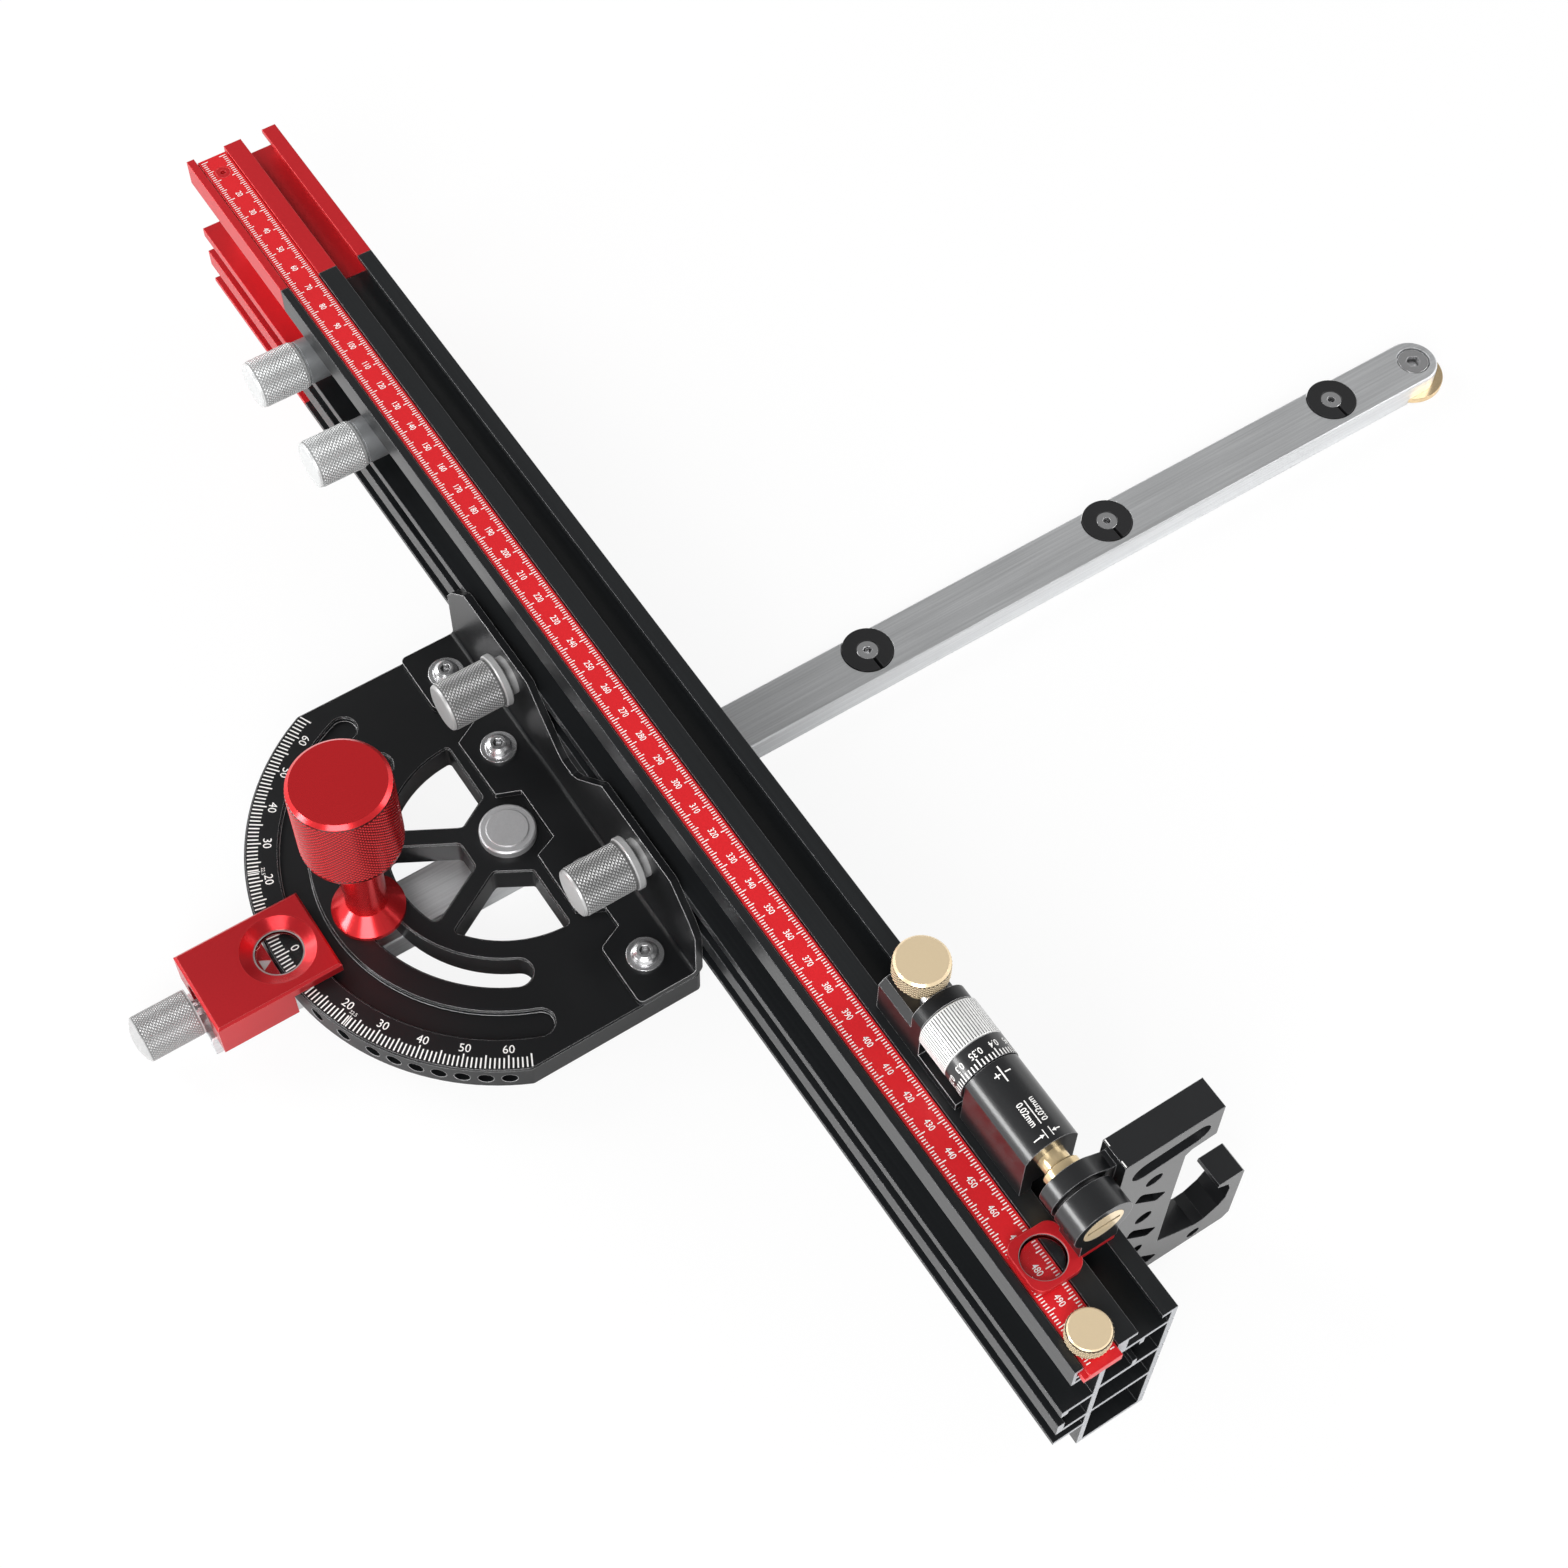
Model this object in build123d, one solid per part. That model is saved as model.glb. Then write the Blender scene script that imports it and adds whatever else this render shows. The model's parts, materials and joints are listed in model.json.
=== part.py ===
from build123d import *
import math
import os

os.makedirs("parts", exist_ok=True)

# Frame: the swivel pivot stands at X 0, Y 0.  X runs along the fence, +Y is the feed
# direction along the guide bar, Z 0 is the underside of the guide bar.  Millimetres.

# Size of the swivel head, which its neighbours follow
plate_rim_r = 84.0
plate_side_in = 8.0
plate_half = plate_rim_r - plate_side_in

# Guide bar and what is fixed in it
bar_w = 19.0
bar_t = 9.5
bar_past_rim = 28.0
bar_near_y = -(plate_rim_r + bar_past_rim)
bar_far_centre_y = 380.0
bar_edge = 0.5
ring_x = -2.0
ring_ys = (140.9, 242.4, 343.8)
ring_r = 8.85
ring_z0 = 3.0
ring_z1 = 9.75
ring_gap = 0.3
ring_slit = 1.2
ring_screw_head_r = 3.8
ring_screw_r = 1.9
ring_screw_z0 = 0.8
hex_socket_w = 2.6
end_screw_y = 380.9
end_screw_head_r = 5.5
end_screw_head_h = 3.2
end_screw_sink_r = 6.1
end_screw_r = 3.0
slot_disc_r = 12.3
slot_disc_h = 2.4
slot_disc_gap = 0.3
pin_head_r = 9.25
pin_head_h = 3.5
pin_step_r = 6.8
pin_step_h = 0.4
pin_r = 6.0
pin_z0 = 1.5
run_fit = 0.05
stud_y = -0.6 * plate_rim_r
stud_r = 4.0
stud_z0 = 0.8
stud_z1 = 50.0

# Head plate with the angle scale
plate_z0 = bar_t
plate_t = 10.0
plate_z1 = plate_z0 + plate_t
plate_front_y = 25.4
plate_corner = 2.0
plate_edge = 0.5
arc_slot_r = -stud_y
arc_slot_w = 9.6
arc_slot_end = 63.0
groove_in = 15.5
groove_r = plate_rim_r - groove_in
groove_w = 9.0
groove_depth = 2.0
groove_end = 68.0
window_wall = 6.9
window_arc_r = arc_slot_r - arc_slot_w / 2 - window_wall
spoke_angle = 29.5
spoke_w = 6.4
hub_front_y = -15.0
window_top_y = -0.3
window_corner = 2.2
stop_angles = (0, 15, 22.5, 30, 35, 40, 45, 50, 55, 60)
stop_hole_r = 2.5
stop_hole_depth = 6.5
stop_hole_z = plate_z0 + plate_t / 2
screw_side_in = 13.5
outer_screw_x = plate_half - screw_side_in
bracket_screw_xs = (-outer_screw_x, -28.0, 28.0, outer_screw_x)
bracket_screw_y = 13.0
screw_r = 2.5
screw_depth = 8.0

# Index block over the rim, with its magnifier and spring pin
block_half = 15.3
block_out = 26.3
block_in = 16.4
block_y0 = -(plate_rim_r + block_out)
block_y1 = -(plate_rim_r - block_in)
block_z1 = 24.0
block_under_z = plate_z1 + 0.5
block_step_y = -(plate_rim_r + 0.6)
block_edge = 0.8
dish_in = 2.2
dish_y = -(plate_rim_r - dish_in)
dish_top_r = 12.0
dish_low_r = 8.3
dish_z = 21.9
lens_r = 8.0
lens_seat_z = 20.7
lens_rim_h = 0.9
lens_crown_h = 1.7
lens_view_r = 7.3
detent_r = 2.3
detent_tip_gap = 0.3
detent_tip_y = -(plate_rim_r + detent_tip_gap)
detent_travel = 4.2
pull_knob_r = 7.6
pull_knob_gap = 0.3
pull_knob_len = 18.3
pull_knob_dome = 2.2
pull_knob_bore = 9.0
pull_knob_y1 = bar_near_y - pull_knob_gap
pull_recess_r = pull_knob_r + 0.35
pull_recess_y1 = pull_knob_y1 + detent_travel + 0.4
detent_back_y = pull_knob_y1 - pull_knob_bore
block_screw_x = 6.0
block_screw_out = 20.5
block_screw_y = -(plate_rim_r + block_screw_out)
block_screw_r = 1.5
block_screw_head_r = 2.9
block_screw_z1 = 17.0

# Red clamp knob
clamp_flange_r = 11.75
clamp_flange_h = 1.6
clamp_neck_r = 6.75
clamp_cone_z = 26.0
clamp_barrel_r = 15.8
clamp_barrel_z0 = 58.0
clamp_barrel_z1 = 61.5
clamp_top_z = 95.0
clamp_bevel = 1.2

# Folded bracket behind the fence
fold_t = 2.5
fold_z0 = plate_z1
flange_back_y = 23.15
flange_front_y = flange_back_y + fold_t
fold_r = 1.5
flange_half = plate_half
washer_r = 6.0
washer_h = 1.0
button_r = 4.4
button_h = 2.6
button_socket_w = 3.0
button_socket_depth = 1.4
bolt_r = 3.0
bolt_xs = (-35.2, 44.8)

# Fence section, used for the black length and for the red extension
fence_top = 87.8
fence_bottom = 12.2
fence_back = flange_front_y
fence_front = fence_back + 33.8
fence_x0 = -183.3
fence_x1 = 257.9
extension_x0 = -252.4
extension_gap = 0.2
front_wall = 1.9
lip_t = 1.6
front_lip_y = fence_front - 5.1
rear_lip_y1 = fence_front - 13.2
rear_wall_y1 = fence_front - 16.0
rear_wall_y0 = fence_front - 19.7
web1_z1 = fence_top - 8.2
web1_z0 = fence_top - 9.8
web2_z1 = fence_top - 28.9
web2_z0 = fence_top - 30.8
nub_y0 = fence_front - 10.95
nub_y1 = fence_front - 9.45
nub_h = 3.0
centre_y0 = fence_front - 23.5
centre_y1 = fence_front - 21.6
hook_wall = 1.1
hook_lip_y1 = fence_back + 2.7
hook_lip_t = 1.4
ledge_z1 = fence_top - 4.4
ledge_t = 1.5
ledge_w = 1.8
f2_z1 = fence_top - 32.3
f2_z0 = fence_top - 34.1
f2_nub_z = fence_top - 36.0
f3_z1 = fence_top - 48.6
f3_z0 = fence_top - 50.4
f3_nub_z = fence_top - 43.6
back_nub_w = 2.3
f4_z1 = fence_top - 57.6
f4_z0 = fence_top - 59.2
base_web_t = 1.6
face_groove_n = 7
face_groove_first = 8.5
face_groove_pitch = 10.0
face_groove_w = 1.2
face_groove_depth = 0.4
slot_mid_z = (f2_nub_z + f3_nub_z) / 2
channel_mid_z = (web1_z0 + f2_z1) / 2

# Bracket knobs and their bolts
bracket_knob_r = 8.0
bracket_knob_len = 24.5
bracket_neck_r = 6.6
bracket_neck_h = 3.0
bracket_collar_r = 9.0
bracket_collar_h = 2.6
knob_round = 0.9
collar_edge = 0.4
bolt_head_half = 5.1
bolt_head_t = 3.6
bolt_free = 4.0

# Extension: inner bar, bushes, knobs
inner_gap = 0.1
inner_x1 = 5.0
extension_knob_xs = (-169.5, -129.5)
bush_r = 7.65
bush_y0 = 22.8
extension_knob_r = bracket_knob_r
extension_knob_y0 = 4.3
wall_hole_gap = 0.3

# Rule in the top channel
rule_x0 = -250.9
rule_x1 = 260.3
rule_y0 = 28.9
rule_y1 = 39.55
rule_z0 = ledge_z1
rule_z1 = fence_top - 1.0
rule_hook_y = 27.2
rule_hook_z0 = ledge_z1 + 0.4
rule_hook_z1 = fence_top - hook_lip_t - 0.3
rule_centre_y = 34.3
rule_end_screw_x = -242.6
rule_end_screw_r = 1.3
rule_end_screw_head_r = 2.5
thumb_x = 251.6
thumb_r = 6.3
thumb_z0 = fence_top + 0.3
thumb_z1 = 93.6
thumb_screw_r = 2.0
thumb_foot_z = web1_z1 + 0.2

# Flip stop: base, lock knob, dial, housing
stop_y = 50.9
stop_z = 104.2
base_x0 = 142.0
base_block_x1 = 157.6
base_half = 8.5
base_top_z = 103.0
base_edge = 2.2
base_collar_x1 = 162.0
base_collar_r = 9.0
base_plate_x1 = 180.0
base_plate_h = 3.2
rail_x1 = 206.0
rail_half = 4.5
rail_h = 4.8
screw_x0 = 150.0
screw_x1 = 198.0
feed_screw_r = 3.0
lock_x = 149.2
lock_stud_r = 3.0
lock_neck_r = 4.2
lock_barrel_r = 8.05
lock_barrel_z0 = 110.8
lock_barrel_z1 = 118.0
nut_x0 = 143.0
nut_len = 13.6
nut_half = 6.6
nut_t = 4.2
nut_tongue_half = 3.8
dial_x0 = 162.3
dial_x1 = 175.0
dial_r = 9.4
sleeve_x1 = 182.3
sleeve_r = 9.55
sleeve_seat_r = 7.0
nose_r = 5.0
nose_len = 5.0
housing_x0 = 182.6
housing_x1 = 210.0
housing_r = 9.3
housing_half = 8.6
housing_foot_gap = 0.2
feed_travel = 3.0

# Spindle, cursor and arm
spindle_r = 4.2
spindle_x0 = 203.0
spindle_flange_x0 = 214.0
spindle_flange_x1 = 217.6
spindle_flange_r = 5.6
shank_r = 3.0
hub_x1 = 223.0
hub_r = 9.2
washer_x1 = 224.5
thin_washer_r = 7.4
cursor_x1 = 233.5
cursor_r = 9.4
cursor_foot_half = 6.2
frame_z0 = fence_top + 0.3
frame_z1 = 90.4
frame_x0 = 219.9
frame_x1 = 236.5
frame_y0 = 29.3
frame_y1 = 45.6
frame_round = 3.8
frame_tab_y1 = 56.5
cursor_lens_x = 228.3
cursor_lens_y = 36.9
cursor_lens_r = 6.7
arm_x0 = 216.3
arm_x1 = 226.3
arm_y0 = 62.3
arm_top_z = 112.3
arm_bottom_z = 12.0


def block(x0, x1, y0, y1, z0, z1):
    centre = Pos((x0 + x1) / 2, (y0 + y1) / 2, (z0 + z1) / 2)
    return centre * Box(x1 - x0, y1 - y0, z1 - z0)


def post(x, y, r, z0, z1):
    return Pos(x, y, (z0 + z1) / 2) * Cylinder(r, z1 - z0)


def taper(x, y, r0, r1, z0, z1):
    return Pos(x, y, (z0 + z1) / 2) * Cone(r0, r1, z1 - z0)


def rod_x(x0, x1, y, z, r):
    return Pos((x0 + x1) / 2, y, z) * Rot(0, 90, 0) * Cylinder(r, x1 - x0)


def rod_y(x, y0, y1, z, r):
    return Pos(x, (y0 + y1) / 2, z) * Rot(90, 0, 0) * Cylinder(r, y1 - y0)


def patch(y0, y1, z0, z1):
    return Pos((y0 + y1) / 2, (z0 + z1) / 2) * Rectangle(y1 - y0, z1 - z0)


def along_x(sketch, x0, x1):
    return extrude(Plane.YZ.offset(x0) * sketch, x1 - x0)


def along_z(sketch, z0, z1):
    return extrude(Plane.XY.offset(z0) * sketch, z1 - z0)


def along_y(sketch, y0, y1):
    face = Plane((0, y0, 0), x_dir=(1, 0, 0), z_dir=(0, -1, 0)) * sketch
    return extrude(face, -(y1 - y0))


def outline(points):
    return make_face(Polyline(*points, close=True))


def turned(points):
    return revolve(Plane.XZ * make_face(Polyline(*points, close=True)), Axis.Z)


def polar(r, angle):
    # angle counted from the -Y direction towards +X
    a = math.radians(angle)
    return (r * math.sin(a), -r * math.cos(a))


def ring_segment(r0, r1, half_angle, round_r):
    outer = ThreePointArc(polar(r1, -half_angle), polar(r1, 0), polar(r1, half_angle))
    inner = ThreePointArc(polar(r0, half_angle), polar(r0, 0), polar(r0, -half_angle))
    side_a = Line(polar(r1, half_angle), polar(r0, half_angle))
    side_b = Line(polar(r0, -half_angle), polar(r1, -half_angle))
    body = make_face([outer, side_a, inner, side_b])
    mid = (r0 + r1) / 2
    for s in (-1, 1):
        body += Pos(*polar(mid, s * half_angle)) * Circle(round_r)
    return body


def save(shape, node):
    shape.label = node
    export_step(shape, "parts/" + node + ".step")


# Guide bar
three_sides = Polyline(
    (bar_w / 2, bar_far_centre_y),
    (bar_w / 2, bar_near_y),
    (-bar_w / 2, bar_near_y),
    (-bar_w / 2, bar_far_centre_y),
)
far_arc = ThreePointArc(
    (-bar_w / 2, bar_far_centre_y),
    (0, bar_far_centre_y + bar_w / 2),
    (bar_w / 2, bar_far_centre_y),
)
bar = along_z(make_face([three_sides, far_arc]), 0, bar_t)
bar = chamfer(bar.edges().group_by(Axis.Z)[-1], bar_edge)
for y in ring_ys:
    bar -= post(ring_x, y, ring_r + ring_gap, ring_z0, bar_t + 1)
    bar -= post(ring_x, y, ring_screw_r, ring_screw_z0, ring_z0)
bar -= post(0, end_screw_y, slot_disc_r + slot_disc_gap, -1, slot_disc_h)
bar -= post(0, end_screw_y, end_screw_sink_r, bar_t - end_screw_head_h, bar_t + 1)
bar -= post(0, end_screw_y, end_screw_r, 0, bar_t)
bar -= post(0, 0, pin_r, pin_z0, bar_t + 1)
bar -= post(0, stud_y, stud_r, stud_z0, bar_t + 1)
for s in (-1, 1):
    bar -= post(s * block_screw_x, block_screw_y, block_screw_r, -1, bar_t + 1)
    bar -= taper(s * block_screw_x, block_screw_y, block_screw_head_r, block_screw_r, 0, 2.0)
bar -= rod_y(0, bar_near_y - 1, pull_recess_y1, stop_hole_z, pull_recess_r)
save(bar, "bar")

# Expansion rings: split, with a cone the screw spreads
rings = []
ring_screws = []
cone_h = ring_screw_head_r - ring_screw_r
for y in ring_ys:
    ring = post(ring_x, y, ring_r, ring_z0, ring_z1)
    ring -= post(ring_x, y, ring_screw_r + ring_gap, ring_z0 - 1, ring_z1 + 1)
    ring -= taper(ring_x, y, ring_screw_r, ring_screw_head_r, ring_z1 - cone_h - 0.25, ring_z1 - 0.25)
    ring -= post(ring_x, y, ring_screw_head_r + run_fit, ring_z1 - 0.26, ring_z1 + 1)
    ring -= block(ring_x, ring_x + ring_r + 1, y - ring_slit / 2, y + ring_slit / 2,
                  ring_z0 - 1, ring_z1 + 1)
    rings.append(ring)
    screw = post(ring_x, y, ring_screw_r, ring_screw_z0, ring_z1 - 0.2)
    screw += taper(ring_x, y, ring_screw_r, ring_screw_head_r, ring_z1 - cone_h - 0.2, ring_z1 - 0.2)
    screw -= along_z(Pos(ring_x, y) * RegularPolygon(hex_socket_w / 2 + 0.2, 6), ring_z1 - 2.2, ring_z1)
    ring_screws.append(screw)
save(Compound(children=rings), "expansion_rings")
save(Compound(children=ring_screws), "ring_screws")

# End screw and the brass disc that rides in the wide part of the table slot
end_screw = post(0, end_screw_y, end_screw_r, slot_disc_h - 2.0, bar_t - end_screw_head_h)
end_screw += post(0, end_screw_y, end_screw_head_r, bar_t - end_screw_head_h, bar_t - 0.3)
end_screw -= along_z(Pos(0, end_screw_y) * RegularPolygon(2.6, 6), bar_t - 2.6, bar_t)
save(end_screw, "end_screw")
disc = post(0, end_screw_y, slot_disc_r, 0, slot_disc_h)
disc -= post(0, end_screw_y, end_screw_r, slot_disc_h - 2.0, slot_disc_h + 1)
disc = chamfer(disc.edges().filter_by(GeomType.CIRCLE).sort_by(Axis.Z)[0], 0.4)
save(disc, "slot_disc")

# Pivot pin and clamp stud
pin = post(0, 0, pin_r, pin_z0, plate_z1)
pin_head = post(0, 0, pin_head_r, plate_z1, plate_z1 + pin_head_h - pin_step_h)
pin_head = chamfer(pin_head.edges().filter_by(GeomType.CIRCLE).sort_by(Axis.Z)[-1], 0.5)
pin += pin_head
pin += post(0, 0, pin_step_r, plate_z1, plate_z1 + pin_head_h)
save(pin, "pivot_pin")
stud = post(0, stud_y, stud_r, stud_z0, stud_z1)
stud = chamfer(stud.edges().filter_by(GeomType.CIRCLE).sort_by(Axis.Z)[-1], 0.8)
save(stud, "clamp_stud")

# Head plate
rim_y = -math.sqrt(plate_rim_r ** 2 - plate_half ** 2)
plate_sketch = make_face([
    Line((-plate_half, rim_y), (-plate_half, plate_front_y)),
    Line((-plate_half, plate_front_y), (plate_half, plate_front_y)),
    Line((plate_half, plate_front_y), (plate_half, rim_y)),
    ThreePointArc((plate_half, rim_y), (0, -plate_rim_r), (-plate_half, rim_y)),
])
plate_sketch = fillet(plate_sketch.vertices(), plate_corner)
plate = along_z(plate_sketch, plate_z0, plate_z1)
slot_sketch = ring_segment(arc_slot_r - arc_slot_w / 2, arc_slot_r + arc_slot_w / 2,
                           arc_slot_end, arc_slot_w / 2)
plate -= along_z(slot_sketch, plate_z0 - 1, plate_z1 + 1)
groove_sketch = ring_segment(groove_r - groove_w / 2, groove_r + groove_w / 2,
                             groove_end, groove_w / 2)
plate -= along_z(groove_sketch, plate_z1 - groove_depth, plate_z1 + 1)

# The three windows lie inside one circle, parted by the two spokes and the hub
window_disc = Circle(window_arc_r)
sides = spoke_w / 2 / math.cos(math.radians(spoke_angle))
slope = math.tan(math.radians(spoke_angle))
reach = window_arc_r + 10
mid_inner_x = slope * (-hub_front_y) - sides
mid_window = outline([
    (-mid_inner_x, hub_front_y),
    (mid_inner_x, hub_front_y),
    (slope * reach - sides, -reach),
    (-(slope * reach - sides), -reach),
])
mid_window = window_disc & mid_window
mid_window = fillet(mid_window.vertices(), window_corner)
plate -= along_z(mid_window, plate_z0 - 1, plate_z1 + 1)
hub_x_top = 16.3
hub_x_low = 10.1
hub_y_low = -10.9
for s in (-1, 1):
    spoke_y = hub_y_low - 1.8
    side_window = outline([
        (s * hub_x_top, window_top_y),
        (s * hub_x_low, hub_y_low),
        (s * (slope * (-spoke_y) + sides), spoke_y),
        (s * (slope * reach + sides), -reach),
        (s * reach, -reach),
        (s * reach, window_top_y),
    ])
    side_window = window_disc & side_window
    side_window = fillet(side_window.vertices(), 1.2)
    plate -= along_z(side_window, plate_z0 - 1, plate_z1 + 1)
plate -= post(0, 0, pin_r + run_fit, plate_z0 - 1, plate_z1 + 1)
for x in bracket_screw_xs:
    plate -= post(x, bracket_screw_y, screw_r, plate_z1 - screw_depth, plate_z1 + 1)
for a in stop_angles:
    for s in ((1,) if a == 0 else (-1, 1)):
        hole = rod_y(0, -plate_rim_r - 2, -plate_rim_r + stop_hole_depth, stop_hole_z, stop_hole_r)
        plate -= Rot(0, 0, s * a) * hole
upper_edges = [e for e in plate.edges().group_by(Axis.Z)[-1] if e.length > 17]
plate = chamfer(upper_edges, plate_edge)
save(plate, "head_plate")

# Index block
index = block(-block_half, block_half, block_y0, block_y1, plate_z0, block_z1)
index = chamfer(index.edges().group_by(Axis.Z)[-1], block_edge)
index -= block(-block_half - 1, block_half + 1, block_step_y, block_y1 + 1, plate_z0 - 1, block_under_z)
index -= taper(0, dish_y, dish_low_r, dish_top_r, dish_z, block_z1)
index -= post(0, dish_y, lens_r + run_fit, lens_seat_z, dish_z)
index -= post(0, dish_y, lens_view_r, plate_z1, lens_seat_z)
index -= rod_y(0, block_y0 - 1, block_step_y + 1, stop_hole_z, detent_r + run_fit)
index -= rod_y(0, block_y0 - 1, pull_recess_y1, stop_hole_z, pull_recess_r)
for s in (-1, 1):
    index -= post(s * block_screw_x, block_screw_y, block_screw_r, plate_z0 - 1, block_screw_z1)
save(index, "index_block")
screws = []
for s in (-1, 1):
    screw = post(s * block_screw_x, block_screw_y, block_screw_r, 0.2, block_screw_z1)
    screw += taper(s * block_screw_x, block_screw_y, block_screw_head_r - 0.05, block_screw_r, 0, 1.9)
    screws.append(screw)
save(Compound(children=screws), "index_screws")
lens_rise = lens_crown_h - lens_rim_h
lens_sphere = (lens_r ** 2 + lens_rise ** 2) / (2 * lens_rise)
lens_half_z = lens_crown_h - lens_sphere + math.sqrt(lens_sphere ** 2 - (lens_r / 2) ** 2)
lens_rim = Polyline((0, lens_crown_h), (0, 0), (lens_r, 0), (lens_r, lens_rim_h))
lens_arc = ThreePointArc((lens_r, lens_rim_h), (lens_r / 2, lens_half_z), (0, lens_crown_h))
lens = revolve(Plane.XZ * make_face([lens_rim, lens_arc]), Axis.Z)
save(Pos(0, dish_y, lens_seat_z) * lens, "index_lens")
detent = rod_y(0, detent_back_y, detent_tip_y, stop_hole_z, detent_r)
detent = chamfer(detent.edges().filter_by(GeomType.CIRCLE).sort_by(Axis.Y)[-1], 0.6)
save(detent, "detent_pin")
pull_y0 = pull_knob_y1 - pull_knob_len
pull = rod_y(0, pull_y0, pull_knob_y1, stop_hole_z, pull_knob_r)
dome_r = (pull_knob_r ** 2 + pull_knob_dome ** 2) / (2 * pull_knob_dome)
ball = Pos(0, pull_y0 - pull_knob_dome + dome_r, stop_hole_z) * Sphere(dome_r)
cap = rod_y(0, pull_y0 - pull_knob_dome - 1, pull_y0 + 1, stop_hole_z, pull_knob_r)
pull += cap & ball
pull -= rod_y(0, detent_back_y, pull_knob_y1 + 1, stop_hole_z, detent_r)
save(pull, "detent_knob")

# Red clamp knob
clamp = turned([
    (stud_r + run_fit, plate_z1),
    (clamp_flange_r, plate_z1),
    (clamp_flange_r, plate_z1 + clamp_flange_h),
    (clamp_neck_r, clamp_cone_z),
    (clamp_neck_r, clamp_barrel_z0),
    (clamp_barrel_r - 1.2, clamp_barrel_z1),
    (clamp_barrel_r, clamp_barrel_z1 + 1.2),
    (clamp_barrel_r, clamp_top_z - clamp_bevel),
    (clamp_barrel_r - clamp_bevel, clamp_top_z),
    (0, clamp_top_z),
    (0, stud_z1 + 3),
    (stud_r + run_fit, stud_z1 + 1),
])
save(Pos(0, stud_y, 0) * clamp, "clamp_knob")

# Folded bracket: foot on the plate, upright flange against the fence
foot_points = [
    (-flange_half, flange_back_y - fold_r),
    (-flange_half, 2.9),
    (-52.9, 2.9),
    (-49.0, 11.5),
    (-41.5, 11.5),
    (-36.9, 3.0),
    (-13.4, 3.3),
    (-10.2, 11.0),
    (10.2, 11.0),
    (13.4, 3.3),
    (36.9, 3.0),
    (41.5, 11.5),
    (49.0, 11.5),
    (52.9, 2.9),
    (flange_half, 2.9),
    (flange_half, flange_back_y - fold_r),
]
foot = along_z(outline(foot_points), fold_z0, fold_z0 + fold_t)
foot = fillet(foot.edges().filter_by(Axis.Z).group_by(Axis.Y)[0], 2.0)
bend = patch(flange_back_y - fold_r, flange_front_y, fold_z0, fold_z0 + fold_t + fold_r)
bend -= patch(flange_back_y - fold_r - 1, flange_back_y, fold_z0 + fold_t, fold_z0 + fold_t + fold_r + 1)
bend += Pos(flange_back_y - fold_r, fold_z0 + fold_t) * Rectangle(
    fold_r, fold_r, align=(Align.MIN, Align.MIN))
bend -= Pos(flange_back_y - fold_r, fold_z0 + fold_t + fold_r) * Circle(fold_r)
outer_r = fold_t + fold_r
corner = Pos(flange_front_y - outer_r, fold_z0) * Rectangle(outer_r, outer_r, align=(Align.MIN, Align.MIN))
corner -= Pos(flange_front_y - outer_r, fold_z0 + outer_r) * Circle(outer_r)
bend -= corner
bend_solid = along_x(bend, -flange_half, flange_half)
flange_points = [
    (-flange_half, fold_z0 + fold_t + fold_r),
    (flange_half, fold_z0 + fold_t + fold_r),
    (flange_half, 43.0),
    (72.5, 48.5),
    (62.5, 58.6),
    (22.5, 58.8),
    (18.0, 53.5),
    (6.5, 41.0),
    (3.0, 38.6),
    (-3.0, 38.6),
    (-6.5, 41.0),
    (-18.0, 53.5),
    (-22.5, 58.8),
    (-62.5, 58.6),
    (-72.5, 48.5),
    (-flange_half, 43.0),
]
flange = along_y(outline(flange_points), flange_back_y, flange_front_y)
upper = [e for e in flange.edges().filter_by(Axis.Y) if e.center().Z > 30]
flange = fillet(upper, 2.2)
bracket = foot + bend_solid + flange
for x in bracket_screw_xs:
    bracket -= post(x, bracket_screw_y, screw_r + 0.2, fold_z0 - 1, fold_z0 + fold_t + 1)
for x in bolt_xs:
    bracket -= rod_y(x, flange_back_y - 1, flange_front_y + 1, slot_mid_z, bolt_r + 0.1)
save(bracket, "bracket")

washers = []
buttons = []
for x in bracket_screw_xs:
    z0 = fold_z0 + fold_t
    washer = post(x, bracket_screw_y, washer_r, z0, z0 + washer_h)
    washer -= post(x, bracket_screw_y, screw_r + 0.2, z0 - 1, z0 + washer_h + 1)
    washers.append(washer)
    z1 = z0 + washer_h
    head = turned([
        (0, 0),
        (button_r, 0),
        (button_r, 0.7),
        (button_r * 0.86, button_h * 0.72),
        (button_r * 0.6, button_h),
        (0, button_h),
    ])
    screw = Pos(x, bracket_screw_y, z1) * head
    screw += post(x, bracket_screw_y, screw_r, plate_z1 - screw_depth + 0.5, z1)
    socket = Pos(x, bracket_screw_y) * RegularPolygon(button_socket_w / 2 + 0.25, 6)
    screw -= along_z(socket, z1 + button_h - button_socket_depth, z1 + button_h + 1)
    buttons.append(screw)
save(Compound(children=washers), "bracket_washers")
save(Compound(children=buttons), "bracket_screws")

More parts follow.
